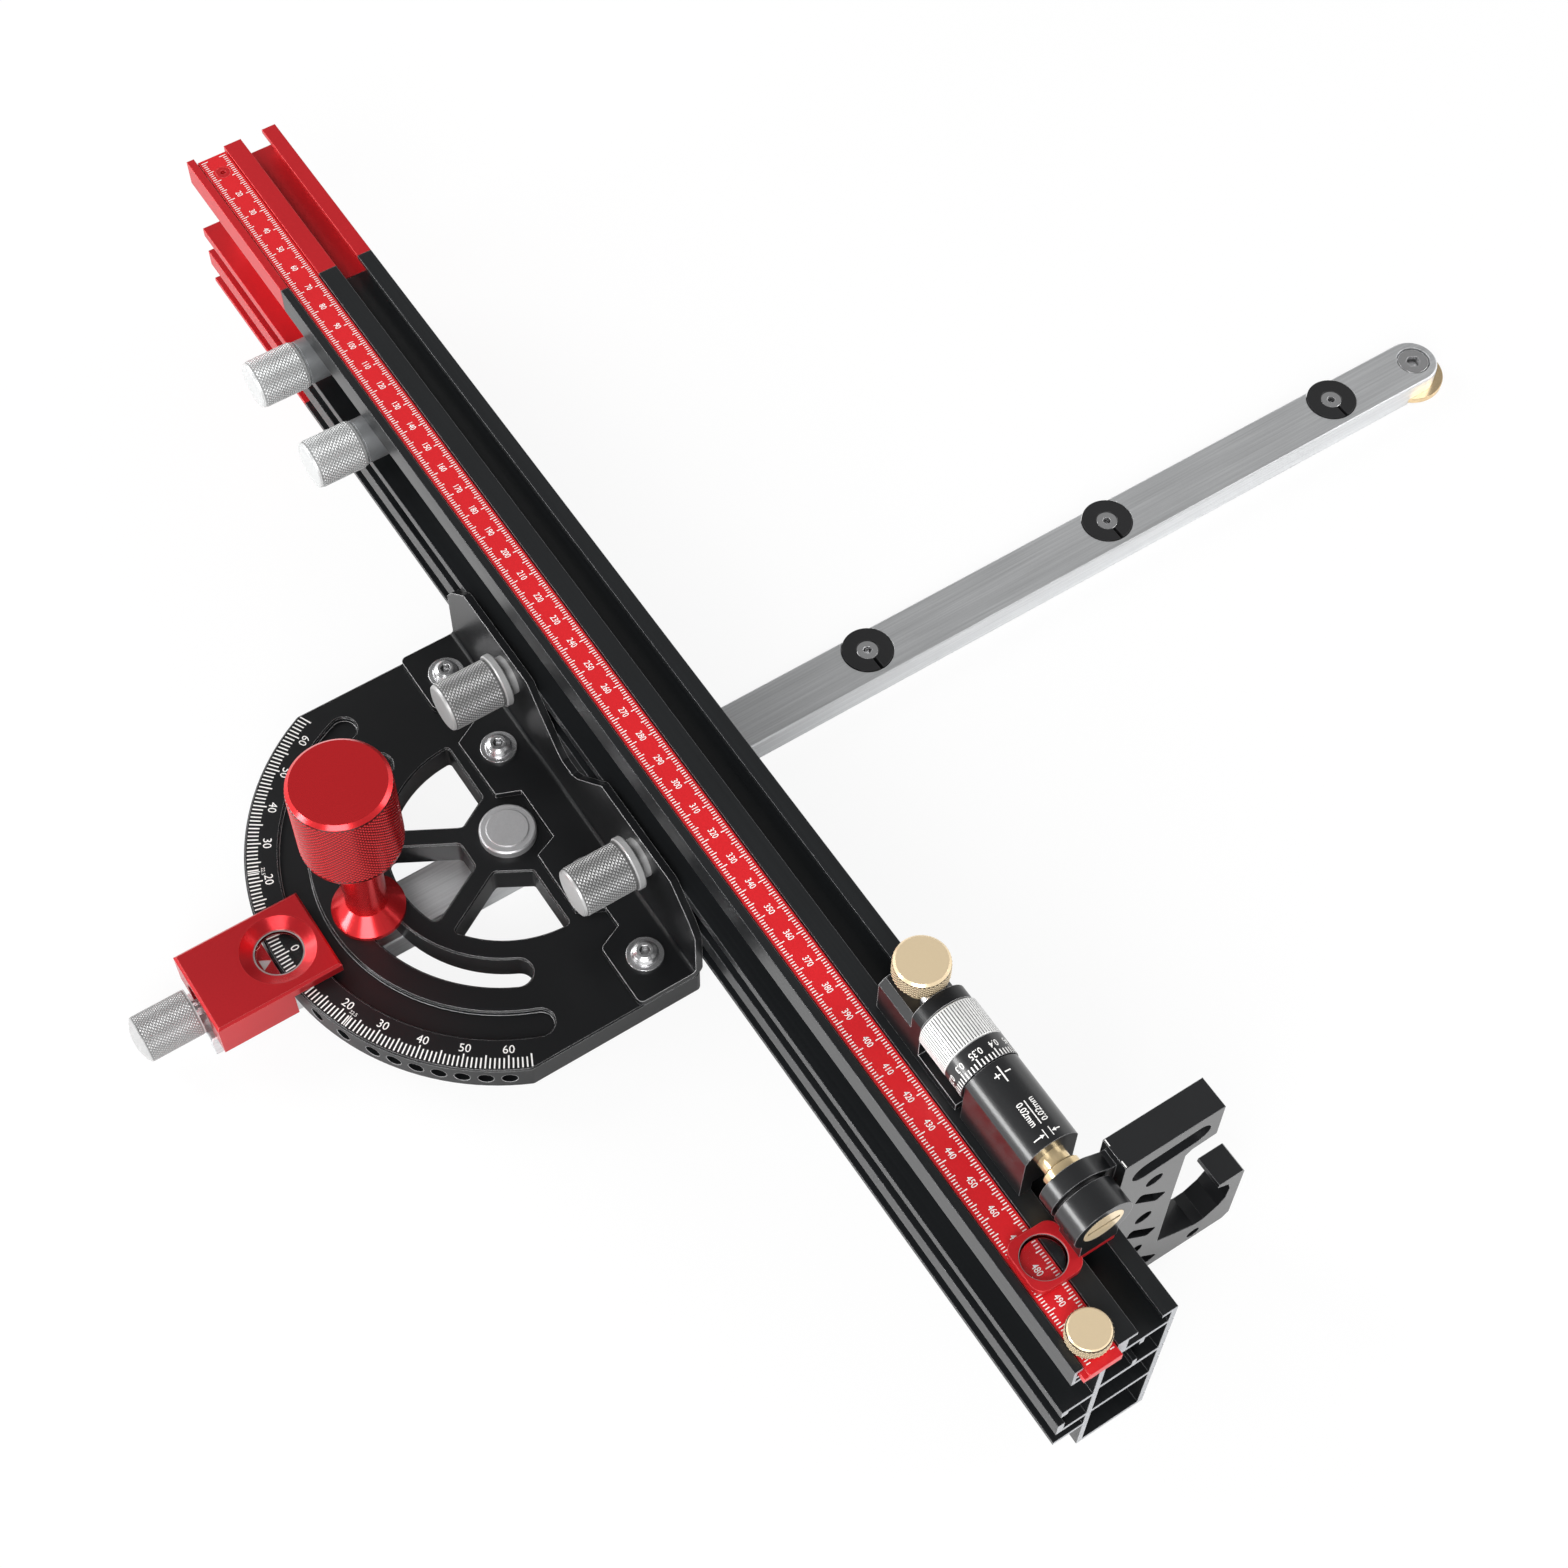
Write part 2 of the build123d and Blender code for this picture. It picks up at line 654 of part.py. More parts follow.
# Bolts from the back slot of the fence, and the two knobs on them
bolts = []
head_y0 = fence_back + back_nub_w
for x in bolt_xs:
    bolt = rod_y(x, bolt_free, head_y0, slot_mid_z, bolt_r)
    bolt += block(x - bolt_head_half, x + bolt_head_half, head_y0, head_y0 + bolt_head_t,
                  slot_mid_z - bolt_head_half, slot_mid_z + bolt_head_half)
    bolts.append(bolt)
save(Compound(children=bolts), "bracket_bolts")
knob_profile = [
    (bolt_r + run_fit, 0),
    (bracket_neck_r, 0),
    (bracket_neck_r, bracket_neck_h),
    (bracket_collar_r - collar_edge, bracket_neck_h),
    (bracket_collar_r, bracket_neck_h + collar_edge),
    (bracket_collar_r, bracket_neck_h + bracket_collar_h - collar_edge),
    (bracket_collar_r - collar_edge, bracket_neck_h + bracket_collar_h),
    (bracket_knob_r, bracket_neck_h + bracket_collar_h),
    (bracket_knob_r, bracket_knob_len - knob_round),
    (bracket_knob_r - knob_round * 0.3, bracket_knob_len - knob_round * 0.3),
    (bracket_knob_r - knob_round, bracket_knob_len),
    (0, bracket_knob_len),
    (0, flange_back_y - bolt_free + 2),
    (bolt_r + run_fit, flange_back_y - bolt_free + 1),
]
for x, side in zip(bolt_xs, ("left", "right")):
    knob = Pos(x, flange_back_y, slot_mid_z) * Rot(90, 0, 0) * turned(knob_profile)
    save(knob, "bracket_knob_" + side)


# Fence section
def fence_section():
    s = patch(fence_front - front_wall, fence_front, fence_bottom, fence_top)
    s += patch(front_lip_y, fence_front, fence_top - lip_t, fence_top)
    s += patch(rear_wall_y0, rear_lip_y1, fence_top - lip_t, fence_top)
    s += patch(rear_wall_y0, rear_wall_y1, web1_z0, fence_top)
    s += patch(fence_back, fence_front, web1_z0, web1_z1)
    s += patch(fence_back, fence_back + hook_wall, web1_z0, fence_top)
    s += patch(fence_back, hook_lip_y1, fence_top - hook_lip_t, fence_top)
    s += patch(rear_wall_y0 - ledge_w, rear_wall_y0, ledge_z1 - ledge_t, ledge_z1)
    s += patch(fence_back, rule_y0 + ledge_w, ledge_z1 - ledge_t, ledge_z1)
    s += patch(nub_y0, nub_y1, web1_z0 - nub_h, web1_z0)
    s += patch(centre_y0, centre_y1, fence_bottom, web1_z1)
    s += patch(centre_y0, fence_front, web2_z0, web2_z1)
    s += patch(nub_y0, nub_y1, web2_z1, web2_z1 + nub_h)
    s += patch(fence_back, centre_y1, f2_z0, f2_z1)
    s += patch(fence_back, fence_back + back_nub_w, f2_nub_z, f2_z1)
    s += patch(fence_back, fence_front, f3_z0, f3_z1)
    s += patch(fence_back, fence_back + back_nub_w, f3_z0, f3_nub_z)
    s += patch(fence_back, centre_y1, f4_z0, f4_z1)
    s += patch(centre_y0, fence_front, fence_bottom, fence_bottom + base_web_t)
    for i in range(face_groove_n):
        z = fence_top - face_groove_first - i * face_groove_pitch
        s -= patch(fence_front - face_groove_depth, fence_front + 1, z - face_groove_w / 2, z + face_groove_w / 2)
    return s


fence = along_x(fence_section(), fence_x0, fence_x1)
for x in extension_knob_xs:
    fence -= rod_y(x, centre_y0 - 1, centre_y1 + 0.05, channel_mid_z, bolt_r + wall_hole_gap)
save(fence, "fence")
extension = along_x(fence_section(), extension_x0, fence_x0 - extension_gap)
save(extension, "extension")

inner = block(extension_x0 + 1, inner_x1, centre_y1 + inner_gap, nub_y0 - inner_gap,
              web2_z1 + inner_gap, web1_z0 - inner_gap)
inner = chamfer(inner.edges().filter_by(Axis.X), 0.4)
save(inner, "extension_bar")

for x, tag in zip(extension_knob_xs, ("a", "b")):
    bush = rod_y(x, bush_y0, centre_y0, channel_mid_z, bush_r)
    bush -= rod_y(x, bush_y0 - 1, centre_y0 + 1, channel_mid_z, bolt_r + run_fit)
    save(bush, "bush_" + tag)
    length = bush_y0 - extension_knob_y0
    reach_in = bush_y0 - (centre_y1 + inner_gap - 0.1)
    knob = turned([
        (0, reach_in),
        (bolt_r, reach_in),
        (bolt_r, 0),
        (extension_knob_r - knob_round, 0),
        (extension_knob_r, knob_round),
        (extension_knob_r, length - knob_round),
        (extension_knob_r - knob_round * 0.3, length - knob_round * 0.3),
        (extension_knob_r - knob_round, length),
        (0, length),
    ])
    save(Pos(x, bush_y0, channel_mid_z) * Rot(90, 0, 0) * knob, "extension_knob_" + tag)

# Rule and its two screws
rule_face = outline([
    (rule_y1, rule_z0),
    (rule_y1, rule_z1),
    (rule_y0, rule_z1),
    (rule_y0, rule_hook_z1),
    (rule_hook_y, rule_hook_z1),
    (rule_hook_y, rule_hook_z0),
    (rule_y0 + 0.6, rule_hook_z0),
    (rule_y0 + 0.6, rule_z0),
])
rule = along_x(rule_face, rule_x0, rule_x1)
head_h = rule_end_screw_head_r - rule_end_screw_r
rule -= post(rule_end_screw_x, rule_centre_y, rule_end_screw_r, rule_z0 - 1, rule_z1 + 1)
rule -= taper(rule_end_screw_x, rule_centre_y, rule_end_screw_r, rule_end_screw_head_r + 0.1,
              rule_z1 - head_h - 0.2, rule_z1)
rule -= post(thumb_x, rule_centre_y, thumb_screw_r + run_fit, rule_z0 - 1, rule_z1 + 1)
save(rule, "rule")
small = post(rule_end_screw_x, rule_centre_y, rule_end_screw_r, web1_z1 + 0.2, rule_z1 - 0.1)
small += taper(rule_end_screw_x, rule_centre_y, rule_end_screw_r, rule_end_screw_head_r,
               rule_z1 - head_h - 0.1, rule_z1 - 0.1)
small -= along_z(Pos(rule_end_screw_x, rule_centre_y) * RegularPolygon(1.1, 6), rule_z1 - 1.3, rule_z1)
save(small, "rule_end_screw")
thumb = turned([
    (0, thumb_foot_z),
    (thumb_screw_r, thumb_foot_z),
    (thumb_screw_r, rule_z1 + 0.1),
    (thumb_r * 0.55, rule_z1 + 0.1),
    (thumb_r * 0.55, thumb_z0),
    (thumb_r - 0.4, thumb_z0),
    (thumb_r, thumb_z0 + 0.4),
    (thumb_r, thumb_z1 - 0.6),
    (thumb_r - 0.6, thumb_z1),
    (0, thumb_z1),
])
save(Pos(thumb_x, rule_centre_y, 0) * thumb, "rule_thumb_screw")

# Flip stop base: clamp block, dial collar, plate and the rail the housing rides on
y0 = stop_y - base_half
y1 = stop_y + base_half
block_face = outline([
    (y0, fence_top),
    (y1, fence_top),
    (y1, base_top_z - base_edge),
    (y1 - base_edge, base_top_z),
    (y0 + base_edge, base_top_z),
    (y0, base_top_z - base_edge),
])
base = along_x(block_face, base_x0, base_block_x1)
collar_face = patch(y0, y1, fence_top, stop_z) & (
    Pos(stop_y, stop_z) * Circle(base_collar_r) + patch(y0, y1, fence_top, stop_z - 2))
collar_face += Pos(stop_y, stop_z) * Circle(base_collar_r) & patch(y0, y1, stop_z - 2, stop_z + 20)
base += along_x(collar_face, base_block_x1, base_collar_x1)
base += block(base_x0, base_plate_x1, y0, y1, fence_top, fence_top + base_plate_h)
base += block(base_x0, rail_x1, stop_y - rail_half, stop_y + rail_half, fence_top, fence_top + rail_h)
base -= post(lock_x, stop_y, lock_stud_r + run_fit, fence_top - 1, base_top_z + 1)
base -= rod_x(lock_x + 4.5, base_collar_x1 + 1, stop_y, stop_z, feed_screw_r)
save(base, "stop_base")
save(rod_x(lock_x + 4.5, screw_x1, stop_y, stop_z, feed_screw_r), "feed_screw")

nut_z1 = fence_top - lip_t
nut_mid = (front_lip_y + rear_lip_y1) / 2
nut = block(nut_x0, nut_x0 + nut_len, nut_mid - nut_half, nut_mid + nut_half, nut_z1 - nut_t, nut_z1)
nut += block(nut_x0, nut_x0 + nut_len, nut_mid - nut_tongue_half, nut_mid + nut_tongue_half,
             nut_z1, fence_top - 0.1)
nut -= post(lock_x, stop_y, lock_stud_r + run_fit, nut_z1 - nut_t - 1, fence_top + 1)
save(nut, "slot_nut")
lock = turned([
    (0, nut_z1 - nut_t),
    (lock_stud_r, nut_z1 - nut_t),
    (lock_stud_r, base_top_z),
    (lock_neck_r, base_top_z),
    (lock_neck_r, lock_barrel_z0 - 1.5),
    (lock_barrel_r - 1.0, lock_barrel_z0),
    (lock_barrel_r, lock_barrel_z0 + 0.6),
    (lock_barrel_r, lock_barrel_z1 - 0.7),
    (lock_barrel_r - 0.7, lock_barrel_z1),
    (0, lock_barrel_z1),
])
save(Pos(lock_x, stop_y, 0) * lock, "stop_lock_knob")

# Dial, graduated sleeve and housing
dial = rod_x(dial_x0, dial_x1, stop_y, stop_z, dial_r)
dial = chamfer(dial.edges().filter_by(GeomType.CIRCLE), 0.4)
dial += rod_x(dial_x1 - 1, sleeve_x1, stop_y, stop_z, sleeve_seat_r)
dial += rod_x(sleeve_x1 - 1, sleeve_x1 + nose_len, stop_y, stop_z, nose_r)
dial -= rod_x(dial_x0 - 1, sleeve_x1 + nose_len + 1, stop_y, stop_z, feed_screw_r + run_fit)
save(dial, "dial")
sleeve = rod_x(dial_x1, sleeve_x1, stop_y, stop_z, sleeve_r)
sleeve -= rod_x(dial_x1 - 1, sleeve_x1 + 1, stop_y, stop_z, sleeve_seat_r)
save(sleeve, "dial_sleeve")
hy0 = stop_y - housing_half
hy1 = stop_y + housing_half
housing_face = Pos(stop_y, stop_z) * Circle(housing_r) & patch(hy0, hy1, stop_z - 2, stop_z + 20)
housing_face += patch(hy0, hy1, fence_top + housing_foot_gap, stop_z)
housing_face -= patch(stop_y - rail_half - 0.15, stop_y + rail_half + 0.15,
                      fence_top - 1, fence_top + rail_h)
housing = along_x(housing_face, housing_x0, housing_x1)
housing -= rod_x(housing_x0 - 1, sleeve_x1 + nose_len + 0.6, stop_y, stop_z, nose_r + run_fit)
housing -= rod_x(housing_x0, screw_x1 + 0.6, stop_y, stop_z, feed_screw_r + 0.3)
housing -= rod_x(spindle_x0, housing_x1 + 1, stop_y, stop_z, spindle_r)
save(housing, "stop_housing")

# Spindle, washer, cursor carrier, cursor, pivot screw
spindle = rod_x(spindle_x0, spindle_flange_x1, stop_y, stop_z, spindle_r)
flange_ring = rod_x(spindle_flange_x0, spindle_flange_x1, stop_y, stop_z, spindle_flange_r)
spindle += chamfer(flange_ring.edges().filter_by(GeomType.CIRCLE), 0.5)
spindle += rod_x(spindle_flange_x1, cursor_x1 - 4, stop_y, stop_z, shank_r)
save(spindle, "spindle")
thin = rod_x(hub_x1, washer_x1, stop_y, stop_z, thin_washer_r)
thin -= rod_x(hub_x1 - 1, washer_x1 + 1, stop_y, stop_z, shank_r)
save(thin, "hub_washer")
carrier = rod_x(washer_x1, cursor_x1, stop_y, stop_z, cursor_r)
carrier += block(washer_x1, cursor_x1, stop_y - cursor_foot_half, stop_y + cursor_foot_half, frame_z1, stop_z)
carrier -= rod_x(washer_x1 - 1, cursor_x1 - 4, stop_y, stop_z, shank_r)
cap_r = 6.6
carrier -= rod_x(cursor_x1 - 4.5, cursor_x1 - 2.6, stop_y, stop_z, shank_r)
carrier -= Pos(cursor_x1 - 1.3, stop_y, stop_z) * Rot(0, 90, 0) * Cone(shank_r, cap_r, 2.6)
tab_x = (washer_x1 + cursor_x1) / 2
tab_y = (frame_y1 + frame_tab_y1) / 2
carrier -= post(tab_x, tab_y, 1.2, frame_z1 - 1, frame_z1 + 5)
save(carrier, "cursor_carrier")
cap = Pos(cursor_x1 - 1.25, stop_y, stop_z) * Rot(0, 90, 0) * Cone(shank_r - 0.05, cap_r - 0.1, 2.5)
cap += rod_x(cursor_x1 - 4, cursor_x1 - 2.4, stop_y, stop_z, shank_r - 0.05)
cap -= block(cursor_x1 - 1.0, cursor_x1 + 1, stop_y - cap_r * 0.8, stop_y + cap_r * 0.8, stop_z - 0.7, stop_z + 0.7)
save(cap, "pivot_screw")
cursor_face = Pos((frame_x0 + frame_x1) / 2, (frame_y0 + frame_y1) / 2) * RectangleRounded(
    frame_x1 - frame_x0, frame_y1 - frame_y0, frame_round)
cursor_face += Pos(tab_x, (frame_y1 - 4 + frame_tab_y1) / 2) * Rectangle(
    cursor_x1 - washer_x1, frame_tab_y1 - frame_y1 + 4)
cursor = along_z(cursor_face, frame_z0, frame_z1)
cursor -= post(cursor_lens_x, cursor_lens_y, cursor_lens_r, frame_z0 + 0.3, frame_z1 + 1)
cursor -= post(cursor_lens_x, cursor_lens_y, cursor_lens_r - 0.6, frame_z0 - 1, frame_z1)
cursor -= post(tab_x, tab_y, 1.2, frame_z0 - 1, frame_z1 + 1)
cursor -= taper(tab_x, tab_y, 2.2, 1.2, frame_z0, frame_z0 + 1.0)
save(cursor, "cursor_frame")
clear = post(cursor_lens_x, cursor_lens_y, cursor_lens_r, frame_z0 + 0.3, frame_z1 - 0.3)
save(clear, "cursor_lens")
tab_screw = post(tab_x, tab_y, 1.2, frame_z0 + 0.1, frame_z1 + 4.5)
tab_screw += taper(tab_x, tab_y, 2.1, 1.2, frame_z0 + 0.05, frame_z0 + 0.95)
save(tab_screw, "cursor_screw")

# Flip arm
arm_points = [
    (arm_y0, arm_top_z),
    (95.4, arm_top_z),
    (95.7, 94.8),
    (87.4, 94.2),
    (85.5, 92.3),
    (85.6, 61.2),
    (86.0, 30.6),
    (95.0, 25.8),
    (101.0, 22.9),
    (104.6, 23.1),
    (109.2, 26.6),
    (111.3, 30.4),
    (111.7, 36.4),
    (110.4, 41.2),
    (106.0, 44.0),
    (106.2, 45.6),
    (114.9, 45.6),
    (115.5, 44.6),
    (115.6, 14.4),
    (113.4, arm_bottom_z),
    (arm_y0, arm_bottom_z),
]
arm_face = outline(arm_points)
slot_half = 13.1
slot_r = 4.6
slot_y = 79.2
slot_z = 101.8
arm_face -= Pos(slot_y, slot_z) * SlotOverall(2 * slot_half, 2 * slot_r, rotation=4)
for hole_y, hole_z, hole_r in ((75.6, 88.4, 2.9), (76.1, 61.5, 2.9), (76.9, 35.6, 2.9), (101.8, 15.9, 2.3)):
    arm_face -= Pos(hole_y, hole_z) * Circle(hole_r)
for lozenge_y, lozenge_z in ((76.4, 75.4), (77.3, 48.6), (81.8, 22.0)):
    lozenge = outline([
        (lozenge_y - 6.0, lozenge_z + 3.0),
        (lozenge_y - 4.4, lozenge_z + 7.4),
        (lozenge_y + 6.2, lozenge_z - 3.6),
        (lozenge_y + 3.0, lozenge_z - 6.2),
    ])
    arm_face -= fillet(lozenge.vertices(), 1.1)
arm = along_x(arm_face, arm_x0, arm_x1)
neck_face = outline([
    (stop_y, stop_z - 7.0),
    (stop_y, stop_z + 7.0),
    (stop_y + 5.0, stop_z + 7.7),
    (arm_y0 - 1.5, stop_z + 4.6),
    (arm_y0 + 2.0, stop_z + 4.6),
    (arm_y0 + 2.0, stop_z - 7.0),
])
hub = along_x(neck_face + Pos(stop_y, stop_z) * Circle(hub_r), spindle_flange_x1, hub_x1)
arm += hub
arm -= rod_x(spindle_flange_x1 - 1, hub_x1 + 1, stop_y, stop_z, shank_r + run_fit)
save(arm, "arm")
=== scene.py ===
# %% [markdown]
# # A miter gauge with a sliding stop
#
# A miter gauge guides a board past a saw blade at a set angle.  Its steel bar runs in
# the table's slot, a black head plate swivels on the bar, and a long black fence with a
# red rule is bolted to the head.  The true outlines, holes and slots are already solids,
# so this lesson loads them and gives them what a solid has not got: metal finishes,
# printed scales, knurls and flutes.  Everything is in metres in the solids' own frame.

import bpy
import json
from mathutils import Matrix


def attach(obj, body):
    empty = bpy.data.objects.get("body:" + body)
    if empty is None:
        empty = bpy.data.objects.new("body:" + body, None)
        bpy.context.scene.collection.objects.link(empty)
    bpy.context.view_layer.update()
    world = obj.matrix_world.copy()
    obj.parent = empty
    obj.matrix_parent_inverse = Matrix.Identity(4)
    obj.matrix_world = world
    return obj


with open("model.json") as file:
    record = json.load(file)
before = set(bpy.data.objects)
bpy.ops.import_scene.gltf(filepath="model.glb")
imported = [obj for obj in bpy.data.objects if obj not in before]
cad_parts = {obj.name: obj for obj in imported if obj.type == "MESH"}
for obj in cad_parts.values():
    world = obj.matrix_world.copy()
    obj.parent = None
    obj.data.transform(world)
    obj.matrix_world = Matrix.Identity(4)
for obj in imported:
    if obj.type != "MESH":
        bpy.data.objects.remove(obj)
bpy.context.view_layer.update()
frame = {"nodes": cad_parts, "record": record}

# %% What the other cells need
import json
import math

import bpy
from mathutils import Matrix, Vector

MM = 0.001
scene = bpy.context.scene
scene.view_settings.view_transform = "Standard"


def mm(*values):
    return Vector(values) * MM


print("one unit is a metre, one MM is", MM)

# %% [markdown]
# ## The camera
#
# The photograph was taken from above the near end of the bar, looking down at the
# gauge by about 58 degrees.  A camera could be aimed with a Track To constraint, but
# its three directions are known from the straight edges of the fence and the bar, so
# they are written straight into the camera's matrix.

# %% Place the camera
to_right = Vector((0.548237798, 0.836223939, 0.012839035))
to_below = Vector((0.716099549, -0.461442067, -0.523710468))
ahead = Vector((-0.432014759, 0.296311901, -0.851799569))
camera_data = bpy.data.cameras.new("view_camera")
camera_data.sensor_width = 36.0
camera_data.lens = 61.107
camera_data.clip_start = 0.05
camera_data.clip_end = 20.0
camera = bpy.data.objects.new("view_camera", camera_data)
turn = Matrix((to_right, -to_below, -ahead)).transposed().to_4x4()
camera.matrix_world = Matrix.Translation(mm(405.1, -171.3, 754.4)) @ turn
scene.collection.objects.link(camera)
scene.camera = camera
print("camera at", tuple(round(v, 3) for v in camera.location))

# %% [markdown]
# ## Joining nodes in a few words
#
# Every finish and every repeated shape below is a node tree.  Trees can be drawn by
# hand in the editor, or made in a script.  A script says exactly which value feeds
# which socket, so a few small helpers are enough: one makes a node and fills its
# sockets, three do sums and vectors, and one starts a group with named sockets.

# %% Helpers for node trees
def node(tree, kind, props=(), sockets=()):
    made = tree.nodes.new(kind)
    for key, value in dict(props).items():
        setattr(made, key, value)
    for key, value in dict(sockets).items():
        if isinstance(value, bpy.types.NodeSocket):
            tree.links.new(value, made.inputs[key])
        else:
            made.inputs[key].default_value = value
    return made


def sums(tree, operation, first, second=0.0, third=None):
    wanted = {0: first, 1: second}
    if third is not None:
        wanted[2] = third
    return node(tree, "ShaderNodeMath", {"operation": operation}, wanted).outputs[0]


def vectors(tree, operation, first, second=(0, 0, 0)):
    return node(tree, "ShaderNodeVectorMath", {"operation": operation}, {0: first, 1: second})


def combine(tree, x=0.0, y=0.0, z=0.0):
    return node(tree, "ShaderNodeCombineXYZ", {}, {"X": x, "Y": y, "Z": z}).outputs[0]


def start_group(name, kind, inputs, outputs):
    tree = bpy.data.node_groups.new(name, kind)
    for label, socket in outputs:
        tree.interface.new_socket(name=label, in_out="OUTPUT", socket_type="NodeSocket" + socket)
    for label, socket in inputs:
        tree.interface.new_socket(name=label, in_out="INPUT", socket_type="NodeSocket" + socket)
    entry = tree.nodes.new("NodeGroupInput").outputs
    leave = tree.nodes.new("NodeGroupOutput")
    return tree, entry, leave.inputs


print("node helpers ready")

# %% [markdown]
# ## A pale studio
#
# The gauge is photographed on plain white.  The floor is a white sheet that looks fully
# white to the camera and in reflections, yet still takes a soft shadow.  Light Path
# tells the floor's material which kind of ray has hit it.  The sky is white near the
# horizon and dim overhead, because the black tops of the real plates mirror something
# dark, while their upright sides mirror the bright floor.  A mirrored floor that is very
# near lies in the gauge's own shadow, so Ray Length fades its white there.  A low lamp
# on the near side draws the bright line along the black barrels of the flip stop.

# %% Floor that keeps a soft shadow
floor_mesh = bpy.data.meshes.new("floor_sheet")
half_floor = 4.0
floor_drop = 0.0003
floor_mesh.from_pydata(
    [(-half_floor, -half_floor, 0), (half_floor, -half_floor, 0), (half_floor, half_floor, 0),
     (-half_floor, half_floor, 0)], [], [(0, 1, 2, 3)])
floor = bpy.data.objects.new("floor_sheet", floor_mesh)
floor.location = (0, 0, -floor_drop)
scene.collection.objects.link(floor)
white_sheet = bpy.data.materials.new("white_sheet")
white_sheet.use_nodes = True
tree = white_sheet.node_tree
tree.nodes.clear()
path = node(tree, "ShaderNodeLightPath").outputs
far_off = node(tree, "ShaderNodeMapRange", {"interpolation_type": "SMOOTHSTEP"}, {
    "Value": path["Ray Length"], "From Min": 0.01, "From Max": 0.10}).outputs[0]
mirrored = sums(tree, "MULTIPLY", path["Is Glossy Ray"], far_off)
seen = sums(tree, "MAXIMUM", path["Is Camera Ray"], mirrored)
seen = sums(tree, "MAXIMUM", seen, path["Is Transmission Ray"])
share = sums(tree, "MULTIPLY", seen, 0.90)
matt = node(tree, "ShaderNodeBsdfDiffuse", {}, {"Color": (0.92, 0.92, 0.92, 1)})
glow = node(tree, "ShaderNodeEmission", {}, {"Color": (1, 1, 1, 1), "Strength": 1.0})
both = node(tree, "ShaderNodeMixShader", {}, {0: share, 1: matt.outputs[0], 2: glow.outputs[0]})
node(tree, "ShaderNodeOutputMaterial", {}, {"Surface": both.outputs[0]})
floor_mesh.materials.append(white_sheet)
print("floor:", 2 * half_floor, "m wide")

# %% Sky that is bright low down and dim overhead
world = bpy.data.worlds.new("studio")
world.use_nodes = True
scene.world = world
tree = world.node_tree
tree.nodes.clear()
direction = node(tree, "ShaderNodeTexCoord").outputs["Generated"]
height = node(tree, "ShaderNodeSeparateXYZ", {}, {0: direction}).outputs["Z"]
level = node(tree, "ShaderNodeMapRange", {"interpolation_type": "SMOOTHSTEP"},
             {"Value": height, "From Min": 0.22, "From Max": 0.55, "To Min": 1.0, "To Max": 0.22})
sky = node(tree, "ShaderNodeBackground", {}, {"Color": (1, 1, 1, 1), "Strength": level.outputs[0]})
node(tree, "ShaderNodeOutputWorld", {}, {"Surface": sky.outputs[0]})
print("sky: 1.0 at the horizon, 0.22 overhead")

# %% Four soft lamps
lamps = {
    "lamp_low": ((-0.20, -1.37, 0.36), 0.36, 6.5),
    "lamp_right": ((0.95, -0.75, 1.05), 0.9, 19.0),
    "lamp_left": ((-1.15, -0.65, 0.95), 0.8, 13.0),
    "lamp_far": ((0.55, 1.35, 0.90), 0.9, 10.0),
}
aim = mm(0, 40, 40)
for name, (place, side, power) in lamps.items():
    data = bpy.data.lights.new(name, "AREA")
    data.shape = "SQUARE"
    data.size = side
    data.energy = power
    lamp = bpy.data.objects.new(name, data)
    lamp.location = place
    lamp.rotation_euler = (aim - Vector(place)).to_track_quat("-Z", "Y").to_euler()
    scene.collection.objects.link(lamp)
    print(name, power, "W")

# %% [markdown]
# ## Effects that several finishes share
#
# Bead blasting leaves a fine grain, a lathe leaves rings, a belt leaves long streaks,
# and every corner is broken and catches the light through its rounded normal.  A pale
# colour painted along the corners is partly wear and partly a painted highlight, and the
# valleys of knurls get painted shade.  Each is one shader node group, so a finish only
# chooses its own values.  The groups put out masks, shades, heights and a normal; the
# shader itself stays in each material.

# %% Fine grain of a blasted surface
grain_group, entry, leave = start_group(
    "blasted_grain", "ShaderNodeTree",
    [("Vector", "Vector"), ("Scale", "Float"), ("Spread", "Float")],
    [("Shade", "Float"), ("Height", "Float")])
fine = node(grain_group, "ShaderNodeTexNoise", {},
            {"Vector": entry["Vector"], "Scale": entry["Scale"], "Detail": 3.0}).outputs[0]
broad_scale = sums(grain_group, "MULTIPLY", entry["Scale"], 0.018)
broad = node(grain_group, "ShaderNodeTexNoise", {},
             {"Vector": entry["Vector"], "Scale": broad_scale, "Detail": 2.0}).outputs[0]
mixed = sums(grain_group, "ADD", fine, broad)
offset = sums(grain_group, "SUBTRACT", mixed, 1.0)
grain_group.links.new(sums(grain_group, "MULTIPLY_ADD", offset, entry["Spread"], 1.0), leave["Shade"])
grain_group.links.new(fine, leave["Height"])
print("group:", grain_group.name)

# %% Rings left by a lathe, on end faces and on barrels
ring_group, entry, leave = start_group(
    "lathe_rings", "ShaderNodeTree",
    [("Vector", "Vector"), ("Centre", "Vector"), ("Across", "Vector"), ("Along", "Vector"),
     ("Pitch", "Float"), ("Spread", "Float")],
    [("Shade", "Float"), ("Height", "Float"), ("Radius", "Float"), ("Depth", "Float")])
local = vectors(ring_group, "SUBTRACT", entry["Vector"], entry["Centre"]).outputs[0]
flat = vectors(ring_group, "MULTIPLY", local, entry["Across"]).outputs[0]
radius = vectors(ring_group, "LENGTH", flat).outputs["Value"]
depth = vectors(ring_group, "DOT_PRODUCT", local, entry["Along"]).outputs["Value"]
travel = sums(ring_group, "DIVIDE", sums(ring_group, "ADD", radius, depth), entry["Pitch"])
